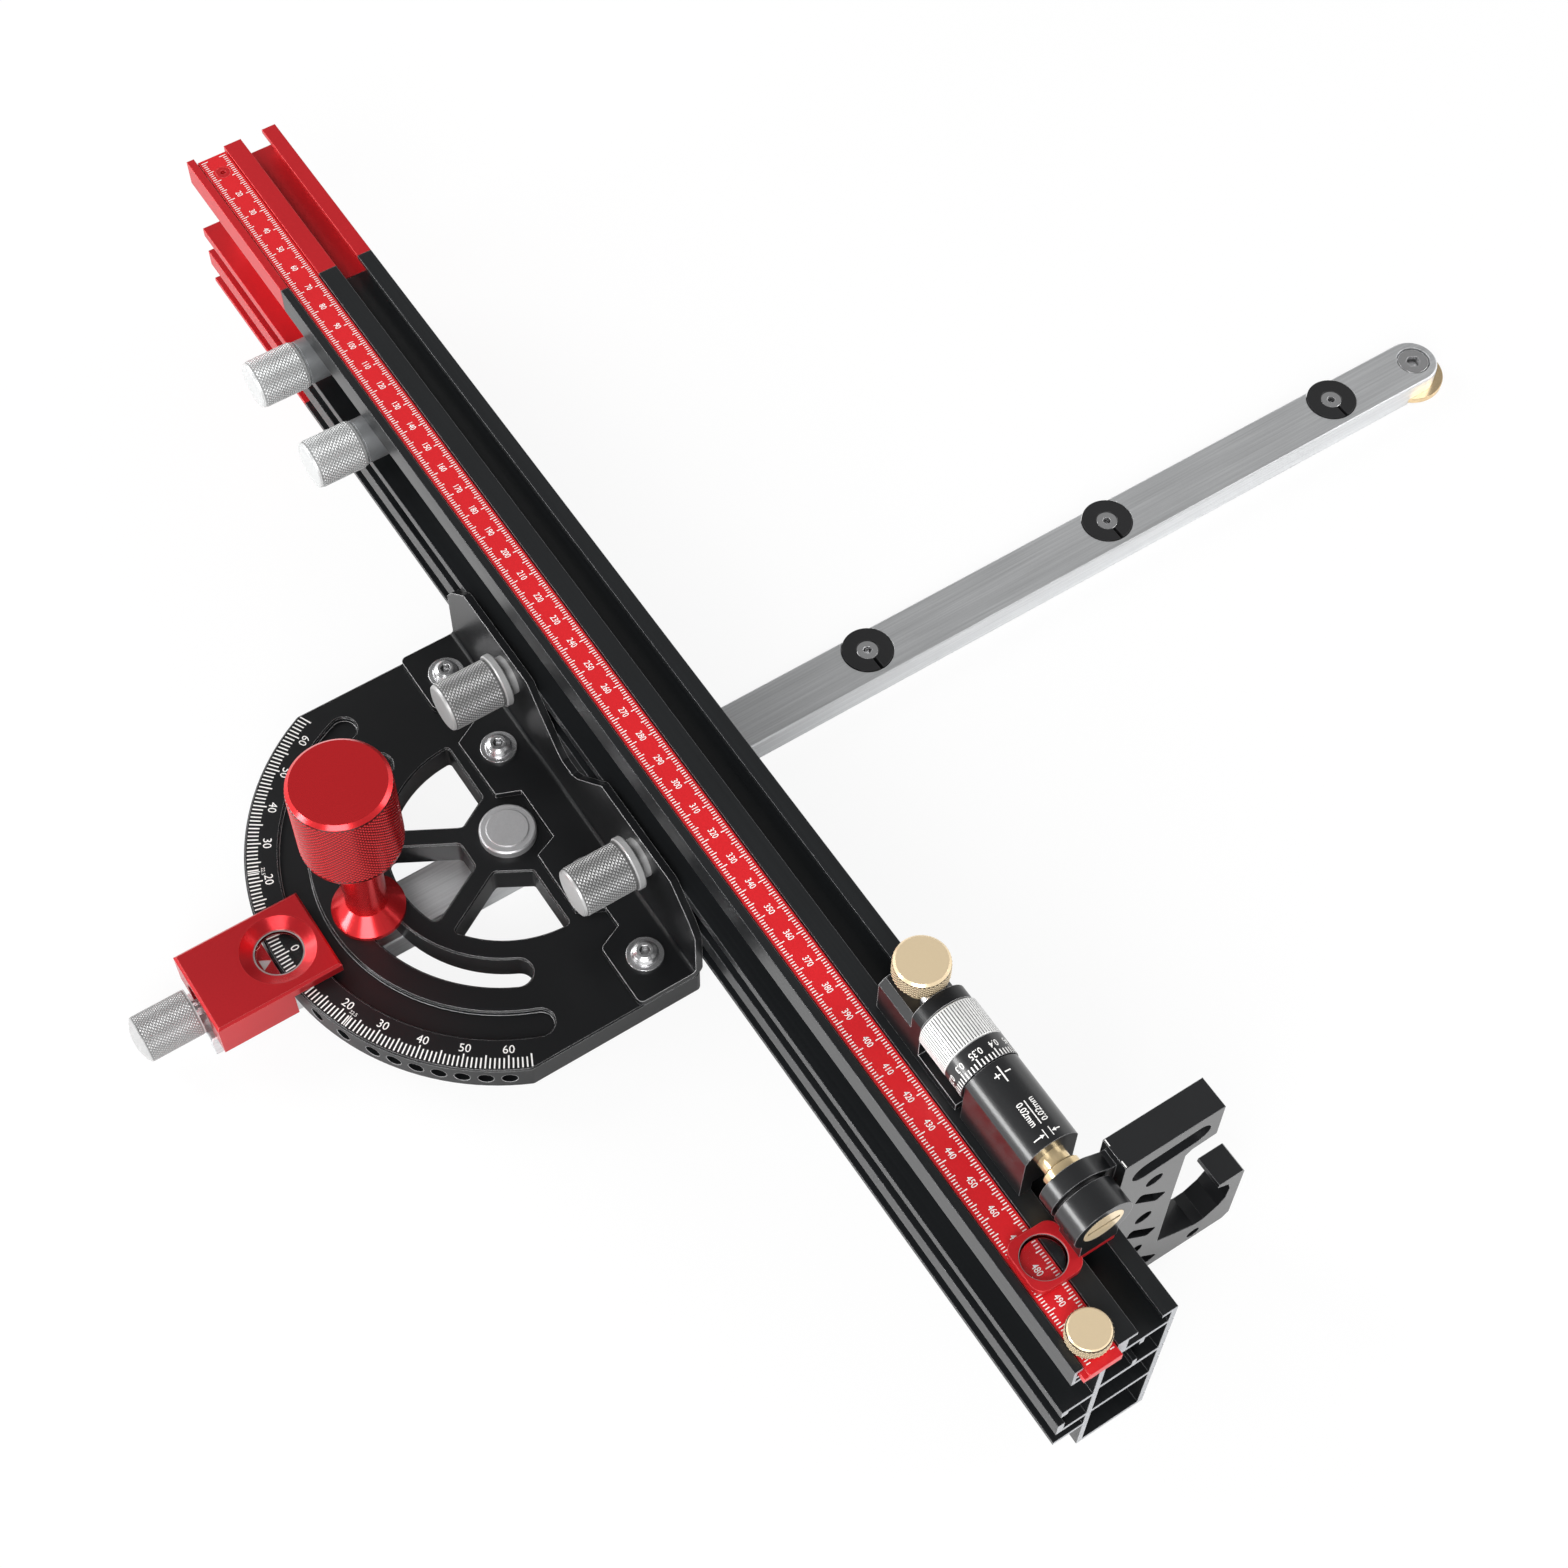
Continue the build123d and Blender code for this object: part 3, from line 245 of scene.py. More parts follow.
rings = node(ring_group, "ShaderNodeTexNoise", {"noise_dimensions": "1D"},
             {"W": travel, "Scale": 1.0, "Detail": 2.0}).outputs[0]
offset = sums(ring_group, "SUBTRACT", rings, 0.5)
ring_group.links.new(sums(ring_group, "MULTIPLY_ADD", offset, entry["Spread"], 1.0), leave["Shade"])
ring_group.links.new(rings, leave["Height"])
ring_group.links.new(radius, leave["Radius"])
ring_group.links.new(depth, leave["Depth"])
print("group:", ring_group.name)

# %% Painted shade in the valleys between the teeth of a grip
grip_shade_group, entry, leave = start_group(
    "grip_valley_shade", "ShaderNodeTree",
    [("Radius", "Float"), ("Depth", "Float"), ("Barrel", "Float"), ("Proud", "Float"), ("Start", "Float"),
     ("End", "Float"), ("Darkest", "Float")], [("Shade", "Float")])
# Painted shade: the colour darkens from the tips of the teeth, a little lighter than the rest, down to the
# barrel.
tooth = node(grip_shade_group, "ShaderNodeMapRange", {}, {
    "Value": sums(grip_shade_group, "SUBTRACT", entry["Radius"], entry["Barrel"]), "From Min": 0.0,
    "From Max": entry["Proud"], "To Min": entry["Darkest"], "To Max": 1.05}).outputs[0]
inside = sums(grip_shade_group, "MULTIPLY", sums(grip_shade_group, "GREATER_THAN", entry["Depth"], entry["Start"]),
              sums(grip_shade_group, "LESS_THAN", entry["Depth"], entry["End"]))
lost = sums(grip_shade_group, "MULTIPLY", inside, sums(grip_shade_group, "SUBTRACT", 1.0, tooth))
grip_shade_group.links.new(sums(grip_shade_group, "SUBTRACT", 1.0, lost), leave["Shade"])
print("group:", grip_shade_group.name)

# %% Long streaks left by a sanding belt
streak_group, entry, leave = start_group(
    "belt_streaks", "ShaderNodeTree",
    [("Vector", "Vector"), ("Stretch", "Vector"), ("Spread", "Float")],
    [("Shade", "Float"), ("Height", "Float")])
drawn = vectors(streak_group, "MULTIPLY", entry["Vector"], entry["Stretch"]).outputs[0]
lines = node(streak_group, "ShaderNodeTexNoise", {},
             {"Vector": drawn, "Scale": 1.0, "Detail": 4.0, "Roughness": 0.6}).outputs[0]
offset = sums(streak_group, "SUBTRACT", lines, 0.5)
streak_group.links.new(sums(streak_group, "MULTIPLY_ADD", offset, entry["Spread"], 1.0), leave["Shade"])
streak_group.links.new(lines, leave["Height"])
print("group:", streak_group.name)

# %% Broken corners that catch the light, and a mask for wear and painted highlight
edge_group, entry, leave = start_group(
    "broken_corner", "ShaderNodeTree", [("Radius", "Float"), ("Vector", "Vector")],
    [("Mask", "Float"), ("Normal", "Vector")])
soft = node(edge_group, "ShaderNodeBevel", {"samples": 6}, {"Radius": entry["Radius"]}).outputs[0]
hard = node(edge_group, "ShaderNodeNewGeometry").outputs["Normal"]
match = vectors(edge_group, "DOT_PRODUCT", soft, hard).outputs["Value"]
lift = node(edge_group, "ShaderNodeMapRange", {"interpolation_type": "SMOOTHSTEP"},
            {"Value": match, "From Min": 0.97, "From Max": 0.80, "To Min": 0.0, "To Max": 1.0})
rubbed = node(edge_group, "ShaderNodeTexNoise", {}, {"Vector": entry["Vector"], "Scale": 260.0}).outputs[0]
patchy = sums(edge_group, "MULTIPLY_ADD", rubbed, 0.8, 0.5)
# The mask marks where a pale colour is painted: partly wear, partly a painted highlight.
edge_group.links.new(sums(edge_group, "MULTIPLY", lift.outputs[0], patchy), leave["Mask"])
edge_group.links.new(soft, leave["Normal"])
print("group:", edge_group.name)

# %% [markdown]
# ## Metal finishes
#
# One function makes a finish from a colour, how metallic it is and how rough, and then
# lays the shared effects over it.  Anodised aluminium keeps a coloured skin over metal:
# black reads almost as a satin plastic, red keeps some of the metal's gloss.  Turned
# parts name the axis they were turned about, so that their rings run round it.

def place_group(tree, group, values):
    made = tree.nodes.new("ShaderNodeGroup")
    made.node_tree = group
    for label, value in values.items():
        if isinstance(value, bpy.types.NodeSocket):
            tree.links.new(value, made.inputs[label])
        else:
            made.inputs[label].default_value = value
    return made.outputs


def blend_colour(tree, how, share, first, second):
    made = node(tree, "ShaderNodeMix", {"data_type": "RGBA", "blend_type": how})
    for socket, value in ((made.inputs[0], share), (made.inputs[6], first), (made.inputs[7], second)):
        if isinstance(value, bpy.types.NodeSocket):
            tree.links.new(value, socket)
        else:
            socket.default_value = value
    return made.outputs[2]


axes = {"X": (1, 0, 0), "Y": (0, 1, 0), "Z": (0, 0, 1)}


def finish(name, colour, metallic, roughness, grain=1500.0, spread=0.16, bump=0.12, corner=0.35,
           corner_wear_and_highlight=None, corner_wear_and_highlight_share=0.5, turned=None, centre=(0, 0, 0), pitch=0.16, streaks=None,
           end_face=None, coat=0.0, grip=None, hollow=None, level=0.5, within=None, rings=0.22):
    material = bpy.data.materials.new(name)
    material.use_nodes = True
    tree = material.node_tree
    shader = tree.nodes["Principled BSDF"]
    place = node(tree, "ShaderNodeTexCoord").outputs["Object"]
    grains = place_group(tree, grain_group, {"Vector": place, "Scale": grain, "Spread": spread})
    shade, relief = grains["Shade"], grains["Height"]
    if turned:
        along = Vector(axes[turned])
        ringed = place_group(tree, ring_group, {
            "Vector": place, "Centre": mm(*centre), "Across": Vector((1, 1, 1)) - along, "Along": along,
            "Pitch": pitch * MM, "Spread": rings})
        if within:
            inner = sums(tree, "LESS_THAN", ringed["Radius"], within * MM)
            rubbed = sums(tree, "MULTIPLY", inner, sums(tree, "SUBTRACT", ringed["Shade"], 1.0))
            shade = sums(tree, "ADD", rubbed, shade)
            smooth = sums(tree, "MULTIPLY_ADD", inner, -0.45, 1.0)
            inner_rings = sums(tree, "MULTIPLY", ringed["Height"], inner)
            relief = sums(tree, "MULTIPLY_ADD", inner_rings, 8.0, relief)
        else:
            shade = sums(tree, "MULTIPLY", shade, ringed["Shade"])
            relief = sums(tree, "MULTIPLY_ADD", ringed["Height"], 2.0, relief)
    if streaks:
        drawn = place_group(tree, streak_group, {"Vector": place, "Stretch": streaks, "Spread": 0.5})
        shade = sums(tree, "MULTIPLY", shade, drawn["Shade"])
        relief = sums(tree, "MULTIPLY_ADD", drawn["Height"], 2.5, relief)
    even = shade
    # Painted shade: the colour darkens in the valleys of a knurl and between flutes.
    if grip:
        barrel, proud, start, end, darkest = grip
        valley = place_group(tree, grip_shade_group, {
            "Radius": ringed["Radius"], "Depth": ringed["Depth"], "Barrel": barrel * MM,
            "Proud": proud * MM, "Start": start * MM, "End": end * MM, "Darkest": darkest})
        shade = sums(tree, "MULTIPLY", shade, valley["Shade"])
    # Painted shade: ambient occlusion darkens the colour in recesses such as screw sockets.
    if hollow:
        shaded = node(tree, "ShaderNodeAmbientOcclusion", {"samples": 6, "only_local": True},
                      {"Distance": hollow * MM}).outputs["AO"]
        shade = sums(tree, "MULTIPLY", shade, sums(tree, "POWER", shaded, 1.6))
    corners = place_group(tree, edge_group, {"Radius": corner * MM, "Vector": place})
    tint = blend_colour(tree, "MULTIPLY", 1.0, (*colour, 1), shade)
    if end_face:
        apart = node(tree, "ShaderNodeSeparateXYZ", {}, {0: place}).outputs["X"]
        cut = sums(tree, "GREATER_THAN", apart, end_face * MM)
        tint = blend_colour(tree, "MIX", cut, tint, (0.34, 0.35, 0.37, 1))
    # Corners are mixed toward a pale colour: partly wear, partly a painted highlight.
    if corner_wear_and_highlight:
        wear_and_highlight = sums(tree, "MULTIPLY", corners["Mask"], corner_wear_and_highlight_share)
        tint = blend_colour(tree, "MIX", wear_and_highlight, tint, (*corner_wear_and_highlight, 1))
    tree.links.new(tint, shader.inputs["Base Color"])
    shader.inputs["Metallic"].default_value = metallic
    rough = sums(tree, "MULTIPLY", even, roughness)
    if within:
        rough = sums(tree, "MULTIPLY", rough, smooth)
    tree.links.new(rough, shader.inputs["Roughness"])
    shader.inputs["Specular IOR Level"].default_value = level
    shader.inputs["Coat Weight"].default_value = coat
    shader.inputs["Coat Roughness"].default_value = 0.12
    bumped = node(tree, "ShaderNodeBump", {}, {
        "Strength": bump, "Distance": 0.00005, "Height": relief, "Normal": corners["Normal"]})
    tree.links.new(bumped.outputs[0], shader.inputs["Normal"])
    return material


print("finish helper ready")

# %% Black, red and grey anodised skins
dish_y = -81.8
# The pale colours given for the corners are partly wear and partly a painted highlight.
black_skin = finish("black_anodised", (0.0100, 0.0105, 0.0115), 0.0, 0.30, corner_wear_and_highlight=(0.34, 0.34, 0.35),
                    corner_wear_and_highlight_share=0.9, level=0.60, coat=0.25)
black_plate = finish("black_anodised_plate", (0.0070, 0.0074, 0.0082), 0.0, 0.34, corner_wear_and_highlight=(0.80, 0.80, 0.81),
                     corner_wear_and_highlight_share=1.0, corner=0.42, level=0.34)
black_fence = finish("black_anodised_fence", (0.0090, 0.0100, 0.0110), 0.0, 0.32, corner_wear_and_highlight=(0.22, 0.22, 0.23),
                     corner_wear_and_highlight_share=0.8, end_face=257.85, streaks=(5.0, 1800.0, 1800.0), bump=0.07, level=0.48)
red_skin = finish("red_anodised", (0.58, 0.015, 0.021), 0.40, 0.36, corner_wear_and_highlight=(0.85, 0.20, 0.19), corner_wear_and_highlight_share=0.4)
red_rule = finish("red_rule_skin", (0.68, 0.014, 0.020), 0.15, 0.34, corner_wear_and_highlight=(0.85, 0.25, 0.24),
                  corner_wear_and_highlight_share=0.6)
red_index = finish("red_index", (0.54, 0.014, 0.020), 0.6, 0.32, corner_wear_and_highlight=(0.95, 0.42, 0.40), corner_wear_and_highlight_share=0.7,
                   turned="Z", centre=(0, dish_y, 0), within=12.05, coat=0.3)
grey_skin = finish("grey_aluminium", (0.30, 0.31, 0.32), 0.6, 0.42)
print("anodised skins made")

# %% Steel, plastic and brass
bar_steel = finish("ground_bar_steel", (0.74, 0.75, 0.76), 0.80, 0.36, streaks=(1500.0, 22.0, 1500.0),
                   bump=0.35, spread=0.08)
bright_steel = finish("bright_steel", (0.76, 0.76, 0.77), 0.95, 0.25, spread=0.05, bump=0.03, hollow=1.6)
dark_steel = finish("dark_steel", (0.06, 0.06, 0.065), 0.7, 0.40)
black_plastic = finish("black_plastic", (0.012, 0.012, 0.013), 0.0, 0.42, grain=2200.0)
brass_plain = finish("brass", (0.86, 0.66, 0.40), 0.8, 0.25, hollow=1.2)
print("steel, plastic and brass made")

# %% Turned pieces, each about its own axis
brass = (0.90, 0.72, 0.47)
barrel_y, barrel_z = 50.9, 104.2
barrel_centre = (0, barrel_y, barrel_z)
knob_r = 8.0
knurl_sink = 0.03
knurl_zones = {
    "clamp_knob": ("Z", (0, -50.4, 0), 15.8, 62.9, 93.6),
    "detent_knob": ("Y", (0, 0, 14.5), 7.6, -130.3, -112.7),
    "bracket_knob_left": ("Y", (-35.2, 0, 48), knob_r, -0.4, 17.4),
    "bracket_knob_right": ("Y", (44.8, 0, 48), knob_r, -0.4, 17.4),
    "extension_knob_a": ("Y", (-169.5, 0, 66.75), knob_r, 5.3, 21.9),
    "extension_knob_b": ("Y", (-129.5, 0, 66.75), knob_r, 5.3, 21.9),
    "rule_thumb_screw": ("Z", (251.6, 34.3, 0), 6.3, 88.5, 93.2),
    "stop_lock_knob": ("Z", (149.2, 50.9, 0), 8.05, 111.2, 117.2),
}


def gripped(node_name, colour, metallic, roughness, darkest, proud, **others):
    axis, centre, radius, start, end = knurl_zones[node_name]
    return finish(node_name + "_metal", colour, metallic, roughness, turned=axis, centre=centre,
                  corner=0.06, grip=(radius - knurl_sink, proud, start, end, darkest), **others)


turned_finishes = {
    "clamp_knob": gripped("clamp_knob", (0.80, 0.024, 0.030), 0.72, 0.22, 0.08, 0.26,
                          rings=0.08, spread=0.06, bump=0.05, coat=0.3),
    "detent_knob": gripped("detent_knob", (0.50, 0.50, 0.50), 0.45, 0.36, 0.35, 0.18),
    "pivot_pin": finish("silver_pivot", (0.62, 0.62, 0.63), 0.7, 0.36, turned="Z"),
    "spindle": finish("brass_spindle", (0.92, 0.72, 0.42), 0.65, 0.20, turned="X", centre=barrel_centre,
                      rings=0.05, spread=0.05, bump=0.03, corner=0.15),
    "pivot_screw": finish("brass_pivot", (0.94, 0.76, 0.50), 0.45, 0.28, turned="X", centre=barrel_centre,
                          rings=0.05, spread=0.04, bump=0.0, corner=0.15, hollow=1.5),
    # The dial's barrel darkens between its flutes as painted shade.
    "dial": finish("silver_dial", (0.92, 0.92, 0.91), 0.25, 0.34, turned="X", centre=barrel_centre,
                   corner=0.08, spread=0.05, bump=0.04, rings=0.08,
                   grip=(9.4, 0.22, 162.85, 174.45, 0.15)),
}
for name in ("rule_thumb_screw", "stop_lock_knob"):
    turned_finishes[name] = gripped(name, brass, 0.5, 0.26, 0.05, 0.24, rings=0.06, spread=0.04, bump=0.05)
# Painted shade: the bracket knobs are a darker copy of the silver knob metal, for the black plates around
# them, with deeper valleys and shaded recesses.
for name in ("bracket_knob_left", "bracket_knob_right"):
    turned_finishes[name] = gripped(name, (0.50, 0.50, 0.50), 0.40, 0.38, 0.38, 0.26, bump=0.05, hollow=3.0)
for name in ("extension_knob_a", "extension_knob_b"):
    turned_finishes[name] = gripped(name, (0.64, 0.65, 0.65), 0.30, 0.40, 0.60, 0.26,
                                    spread=0.05, bump=0.03)
print("turned finishes:", len(turned_finishes))

# %% Clear lens and white ink
# The index is far below that of real glass, so the lenses bend the marks only a little.
clear_lens = bpy.data.materials.new("clear_lens")
clear_lens.use_nodes = True
tree = clear_lens.node_tree
shader = tree.nodes["Principled BSDF"]
shader.inputs["Transmission Weight"].default_value = 1.0
shader.inputs["IOR"].default_value = 1.12
place = node(tree, "ShaderNodeTexCoord").outputs["Object"]
smear = place_group(tree, grain_group, {"Vector": place, "Scale": 500.0, "Spread": 0.06})
tint = blend_colour(tree, "MULTIPLY", 1.0, (0.97, 0.98, 0.98, 1), smear["Shade"])
tree.links.new(tint, shader.inputs["Base Color"])
tree.links.new(sums(tree, "MULTIPLY", smear["Shade"], 0.03), shader.inputs["Roughness"])
white_ink = finish("white_ink", (0.88, 0.87, 0.85), 0.0, 0.55, grain=2500.0, spread=0.10, corner=0.02)
ground_glass = finish("ground_glass", (0.34, 0.32, 0.32), 0.0, 0.50, grain=2500.0, spread=0.10, corner=0.02)
print("lens and ink made")

# %% Dress every solid
by_slot = {
    "black_anodised": black_skin, "red_anodised": red_skin, "red_rule": red_rule,
    "silver_aluminium": bright_steel, "bar_steel": bar_steel, "dark_steel": dark_steel,
    "bright_steel": bright_steel, "brass": brass_plain, "black_plastic": black_plastic,
    "clear_lens": clear_lens, "grey_aluminium": grey_skin,
}
chosen = {row["node"]: by_slot[row["material_slot"]] for row in frame["record"]["subparts"]}
chosen.update(turned_finishes)
chosen["fence"] = black_fence
chosen["index_block"] = red_index
for name in ("head_plate", "bracket", "stop_base"):
    chosen[name] = black_plate
for name, solid in frame["nodes"].items():
    if not solid.data.materials:
        solid.data.materials.append(chosen[name])
    for slot in solid.material_slots:
        slot.material = chosen[name]
print("dressed", len(frame["nodes"]), "solids")

# %% [markdown]
# ## Repeated shapes with Geometry Nodes
#
# A rule has hundreds of ticks and a knurl has thousands of small pyramids.  They follow
# a rule, so a node tree places them: Points makes one point for each, the point's index
# gives its place, and Instance on Points puts a small shape there.  Realize Instances
# makes them real faces, and the result is turned into a plain mesh.

# %% Turn a tree into a plain mesh
def grow(name, tree, values, body, place=None):
    host = bpy.data.objects.new(name + "_host", bpy.data.meshes.new(name + "_host"))
    scene.collection.objects.link(host)
    made_by = host.modifiers.new("made_by", "NODES")
    made_by.node_group = tree
    for item in tree.interface.items_tree:
        if item.in_out == "INPUT" and item.name in values:
            made_by[item.identifier] = values[item.name]
    host.update_tag()
    graph = bpy.context.evaluated_depsgraph_get()
    mesh = bpy.data.meshes.new_from_object(host.evaluated_get(graph))
    bpy.data.objects.remove(host)
    mesh.name = name
    if place:
        mesh.transform(place)
    piece = bpy.data.objects.new(name, mesh)
    scene.collection.objects.link(piece)
    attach(piece, body)
    print(name, "faces:", len(mesh.polygons))
    return piece


def close_tree(tree, leave, points, shape, rotation, scale, material):
    turned = node(tree, "FunctionNodeEulerToRotation", {}, {0: rotation}).outputs[0]
    placed = node(tree, "GeometryNodeInstanceOnPoints", {}, {
        "Points": points, "Instance": shape, "Rotation": turned, "Scale": scale})
    real = node(tree, "GeometryNodeRealizeInstances", {}, {"Geometry": placed.outputs[0]})
    dressed = node(tree, "GeometryNodeSetMaterial", {}, {"Geometry": real.outputs[0], "Material": material})
    tree.links.new(dressed.outputs[0], leave["Geometry"])


def tick_length(tree, entry, count):
    tenth = sums(tree, "COMPARE", sums(tree, "MODULO", count, 10.0), 0.0, 0.1)
    fifth = sums(tree, "COMPARE", sums(tree, "MODULO", count, 5.0), 0.0, 0.1)
    half_extra = sums(tree, "SUBTRACT", entry["Half"], entry["Short"])
    long_extra = sums(tree, "SUBTRACT", entry["Long"], entry["Half"])
    length = sums(tree, "MULTIPLY_ADD", fifth, half_extra, entry["Short"])
    return sums(tree, "MULTIPLY_ADD", tenth, long_extra, length)


def unit_tick(tree):
    return node(tree, "GeometryNodeMeshGrid", {}, {
        "Size X": 1.0, "Size Y": 1.0, "Vertices X": 2, "Vertices Y": 2}).outputs[0]


def round_axis(tree, angle, radius, z):
    return combine(tree, sums(tree, "MULTIPLY", sums(tree, "COSINE", angle), radius),
                   sums(tree, "MULTIPLY", sums(tree, "SINE", angle), radius), z)


tick_inputs = [("Count", "Int"), ("First", "Float"), ("Step", "Float"), ("Width", "Float"),
               ("Short", "Float"), ("Half", "Float"), ("Long", "Float")]
print("tree helpers ready")

# %% [markdown]
# ## The red rule
#
# The rule carries white millimetre ticks along both edges, longer at every fifth and
# tenth, and a small number at every tenth.  One tree draws a straight row of ticks, and
# it is used twice, once for each edge.

# %% Straight row of ticks
row_tree, entry, leave = start_group(
    "tick_row", "GeometryNodeTree",
    tick_inputs + [("Edge", "Float"), ("Inwards", "Float"), ("Level", "Float"), ("Ink", "Material")],
    [("Geometry", "Geometry")])
index = node(row_tree, "GeometryNodeInputIndex").outputs[0]
length = tick_length(row_tree, entry, index)
along = sums(row_tree, "MULTIPLY_ADD", index, entry["Step"], entry["First"])
reach = sums(row_tree, "MULTIPLY", length, sums(row_tree, "MULTIPLY", entry["Inwards"], 0.5))
spot = combine(row_tree, along, sums(row_tree, "ADD", entry["Edge"], reach), entry["Level"])
points = node(row_tree, "GeometryNodePoints", {}, {"Count": entry["Count"], "Position": spot}).outputs[0]
tick = unit_tick(row_tree)
size = combine(row_tree, entry["Width"], length, 1.0)
close_tree(row_tree, leave, points, tick, (0.0, 0.0, 0.0), size, entry["Ink"])
print("tree:", row_tree.name)

# %% Ticks on both edges of the rule
rule_zero_x = -250.6
rule_top_z = 86.8
ink_gap = 0.03
rule_ticks = {
    "Count": 508, "First": (rule_zero_x + 1) * MM, "Step": 1.0 * MM, "Width": 0.32 * MM,
    "Short": 1.35 * MM, "Half": 2.0 * MM, "Long": 2.45 * MM, "Level": (rule_top_z + ink_gap) * MM,
    "Ink": white_ink,
}
grow("rule_ticks_near", row_tree, {**rule_ticks, "Edge": 29.75 * MM, "Inwards": 1.0}, "rule")
grow("rule_ticks_far", row_tree, {**rule_ticks, "Edge": 38.85 * MM, "Inwards": -1.0}, "rule")

# %% [markdown]
# ## Numbers as flat letters
#
# Numbers come from Blender's own font.  A text object becomes a mesh first, and then
# each of its points is carried to its place: flat on the rule, round the arc of the
# head, or wrapped on a barrel.  All the numbers on one body are one piece.

# %% Letters as loose faces
letter_store = {}


def letters(text, height, narrow=1.0, weight=0.0):
    key = (text, height, narrow, weight)
    if key not in letter_store:
        curve = bpy.data.curves.new("letters", "FONT")
        curve.body = text
        curve.offset = weight
        curve.resolution_u = 3
        holder = bpy.data.objects.new("letters", curve)
        scene.collection.objects.link(holder)
        graph = bpy.context.evaluated_depsgraph_get()
        mesh = bpy.data.meshes.new_from_object(holder.evaluated_get(graph))
        across = [v.co.x for v in mesh.vertices]
        upright = [v.co.y for v in mesh.vertices]
        scale = height / (max(upright) - min(upright))
        mid_u = (max(across) + min(across)) / 2
        mid_v = (max(upright) + min(upright)) / 2
        spots = [((v.co.x - mid_u) * scale * narrow, (v.co.y - mid_v) * scale) for v in mesh.vertices]
        letter_store[key] = (spots, [tuple(face.vertices) for face in mesh.polygons])
        bpy.data.objects.remove(holder)
        bpy.data.curves.remove(curve)
        bpy.data.meshes.remove(mesh)
    return letter_store[key]


def print_on(name, marks, body, ink=white_ink):
    spots, faces = [], []
    for (outline, loops), carry in marks:
        first = len(spots)
        spots += [tuple(carry(u, v) * MM) for u, v in outline]
        faces += [tuple(first + i for i in loop) for loop in loops]
    mesh = bpy.data.meshes.new(name)
    mesh.from_pydata(spots, [], faces)
    mesh.materials.append(ink)
    piece = bpy.data.objects.new(name, mesh)
    scene.collection.objects.link(piece)
    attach(piece, body)
    print(name, "marks:", len(marks), "faces:", len(faces))
    return piece


print("letter helpers ready")

# %% Numbers along the rule
numbers_y = 34.45


def on_rule(reading):
    return lambda u, v: Vector((rule_zero_x + reading + u, numbers_y + v, rule_top_z + ink_gap))


rule_numbers = []
for reading in range(20, 500, 10):
    rule_numbers.append((letters(str(reading), 2.1, narrow=0.80, weight=0.006), on_rule(reading)))
print_on("rule_numbers", rule_numbers, "rule")

# %% [markdown]
# ## The angle scale on the head
#
# The rim of the head plate has a tick for every degree and a number at every tenth
# degree, counted both ways from the middle.  The two small extra numbers stand at 22.5
# degrees, an angle that frame makers use.  The ticks are turned about the pivot, so
# each point's index becomes an angle.

# %% Arc of ticks
arc_tree, entry, leave = start_group(
    "tick_arc", "GeometryNodeTree",
    tick_inputs + [("Rim", "Float"), ("Level", "Float"), ("Ink", "Material")],
    [("Geometry", "Geometry")])
index = node(arc_tree, "GeometryNodeInputIndex").outputs[0]
length = tick_length(arc_tree, entry, index)
angle = sums(arc_tree, "MULTIPLY_ADD", index, entry["Step"], entry["First"])
middle = sums(arc_tree, "MULTIPLY_ADD", length, -0.5, entry["Rim"])
side = sums(arc_tree, "MULTIPLY", sums(arc_tree, "SINE", angle), middle)
near = sums(arc_tree, "MULTIPLY", sums(arc_tree, "COSINE", angle), sums(arc_tree, "MULTIPLY", middle, -1.0))
spot = combine(arc_tree, side, near, entry["Level"])
points = node(arc_tree, "GeometryNodePoints", {}, {"Count": entry["Count"], "Position": spot}).outputs[0]
tick = unit_tick(arc_tree)
size = combine(arc_tree, entry["Width"], length, 1.0)
facing = combine(arc_tree, z=angle)
close_tree(arc_tree, leave, points, tick, facing, size, entry["Ink"])
print("tree:", arc_tree.name)

# %% Degrees from 65 left to 65 right
head_top_z = 19.5
scale_rim = 83.0
degree = math.radians(1.0)
grow("angle_ticks", arc_tree, {
    "Count": 131, "First": -65 * degree, "Step": degree, "Width": 0.48 * MM, "Short": 3.5 * MM,
    "Half": 4.4 * MM, "Long": 4.4 * MM, "Rim": scale_rim * MM, "Level": (head_top_z + ink_gap) * MM,
    "Ink": white_ink}, "head")
for side_name, at in (("left", -22.5), ("right", 22.5)):
    grow("half_degree_tick_" + side_name, arc_tree, {
        "Count": 1, "First": at * degree, "Step": degree, "Width": 0.30 * MM, "Short": 3.9 * MM,
        "Half": 3.9 * MM, "Long": 3.9 * MM, "Rim": scale_rim * MM, "Level": (head_top_z + 2 * ink_gap) * MM,
        "Ink": white_ink}, "head")

# %% Numbers round the head
def on_arc(angle, radius):
    a = math.radians(angle)
    out = Vector((math.sin(a), -math.cos(a), 0))
    right = Vector((math.cos(a), math.sin(a), 0))
    up = Vector((0, 0, head_top_z + ink_gap))
    return lambda u, v: out * (radius - v) + right * u + up


angle_numbers = []
for angle in range(-60, 61, 10):
    angle_numbers.append((letters(str(abs(angle)), 2.75), on_arc(angle, 76.6)))
for angle in (-22.5, 22.5):
    angle_numbers.append((letters("22.5", 1.15), on_arc(angle, 78.1)))
print_on("angle_numbers", angle_numbers, "head")

# %% [markdown]
# ## Knurled grips
#
# A knurl is rolled into the metal by two crossing wheels, which leaves rows of small
# pyramids.  Displacing a dense cylinder would take far more faces than placing one
# four-sided pyramid for each diamond, with every second row moved by half a diamond.

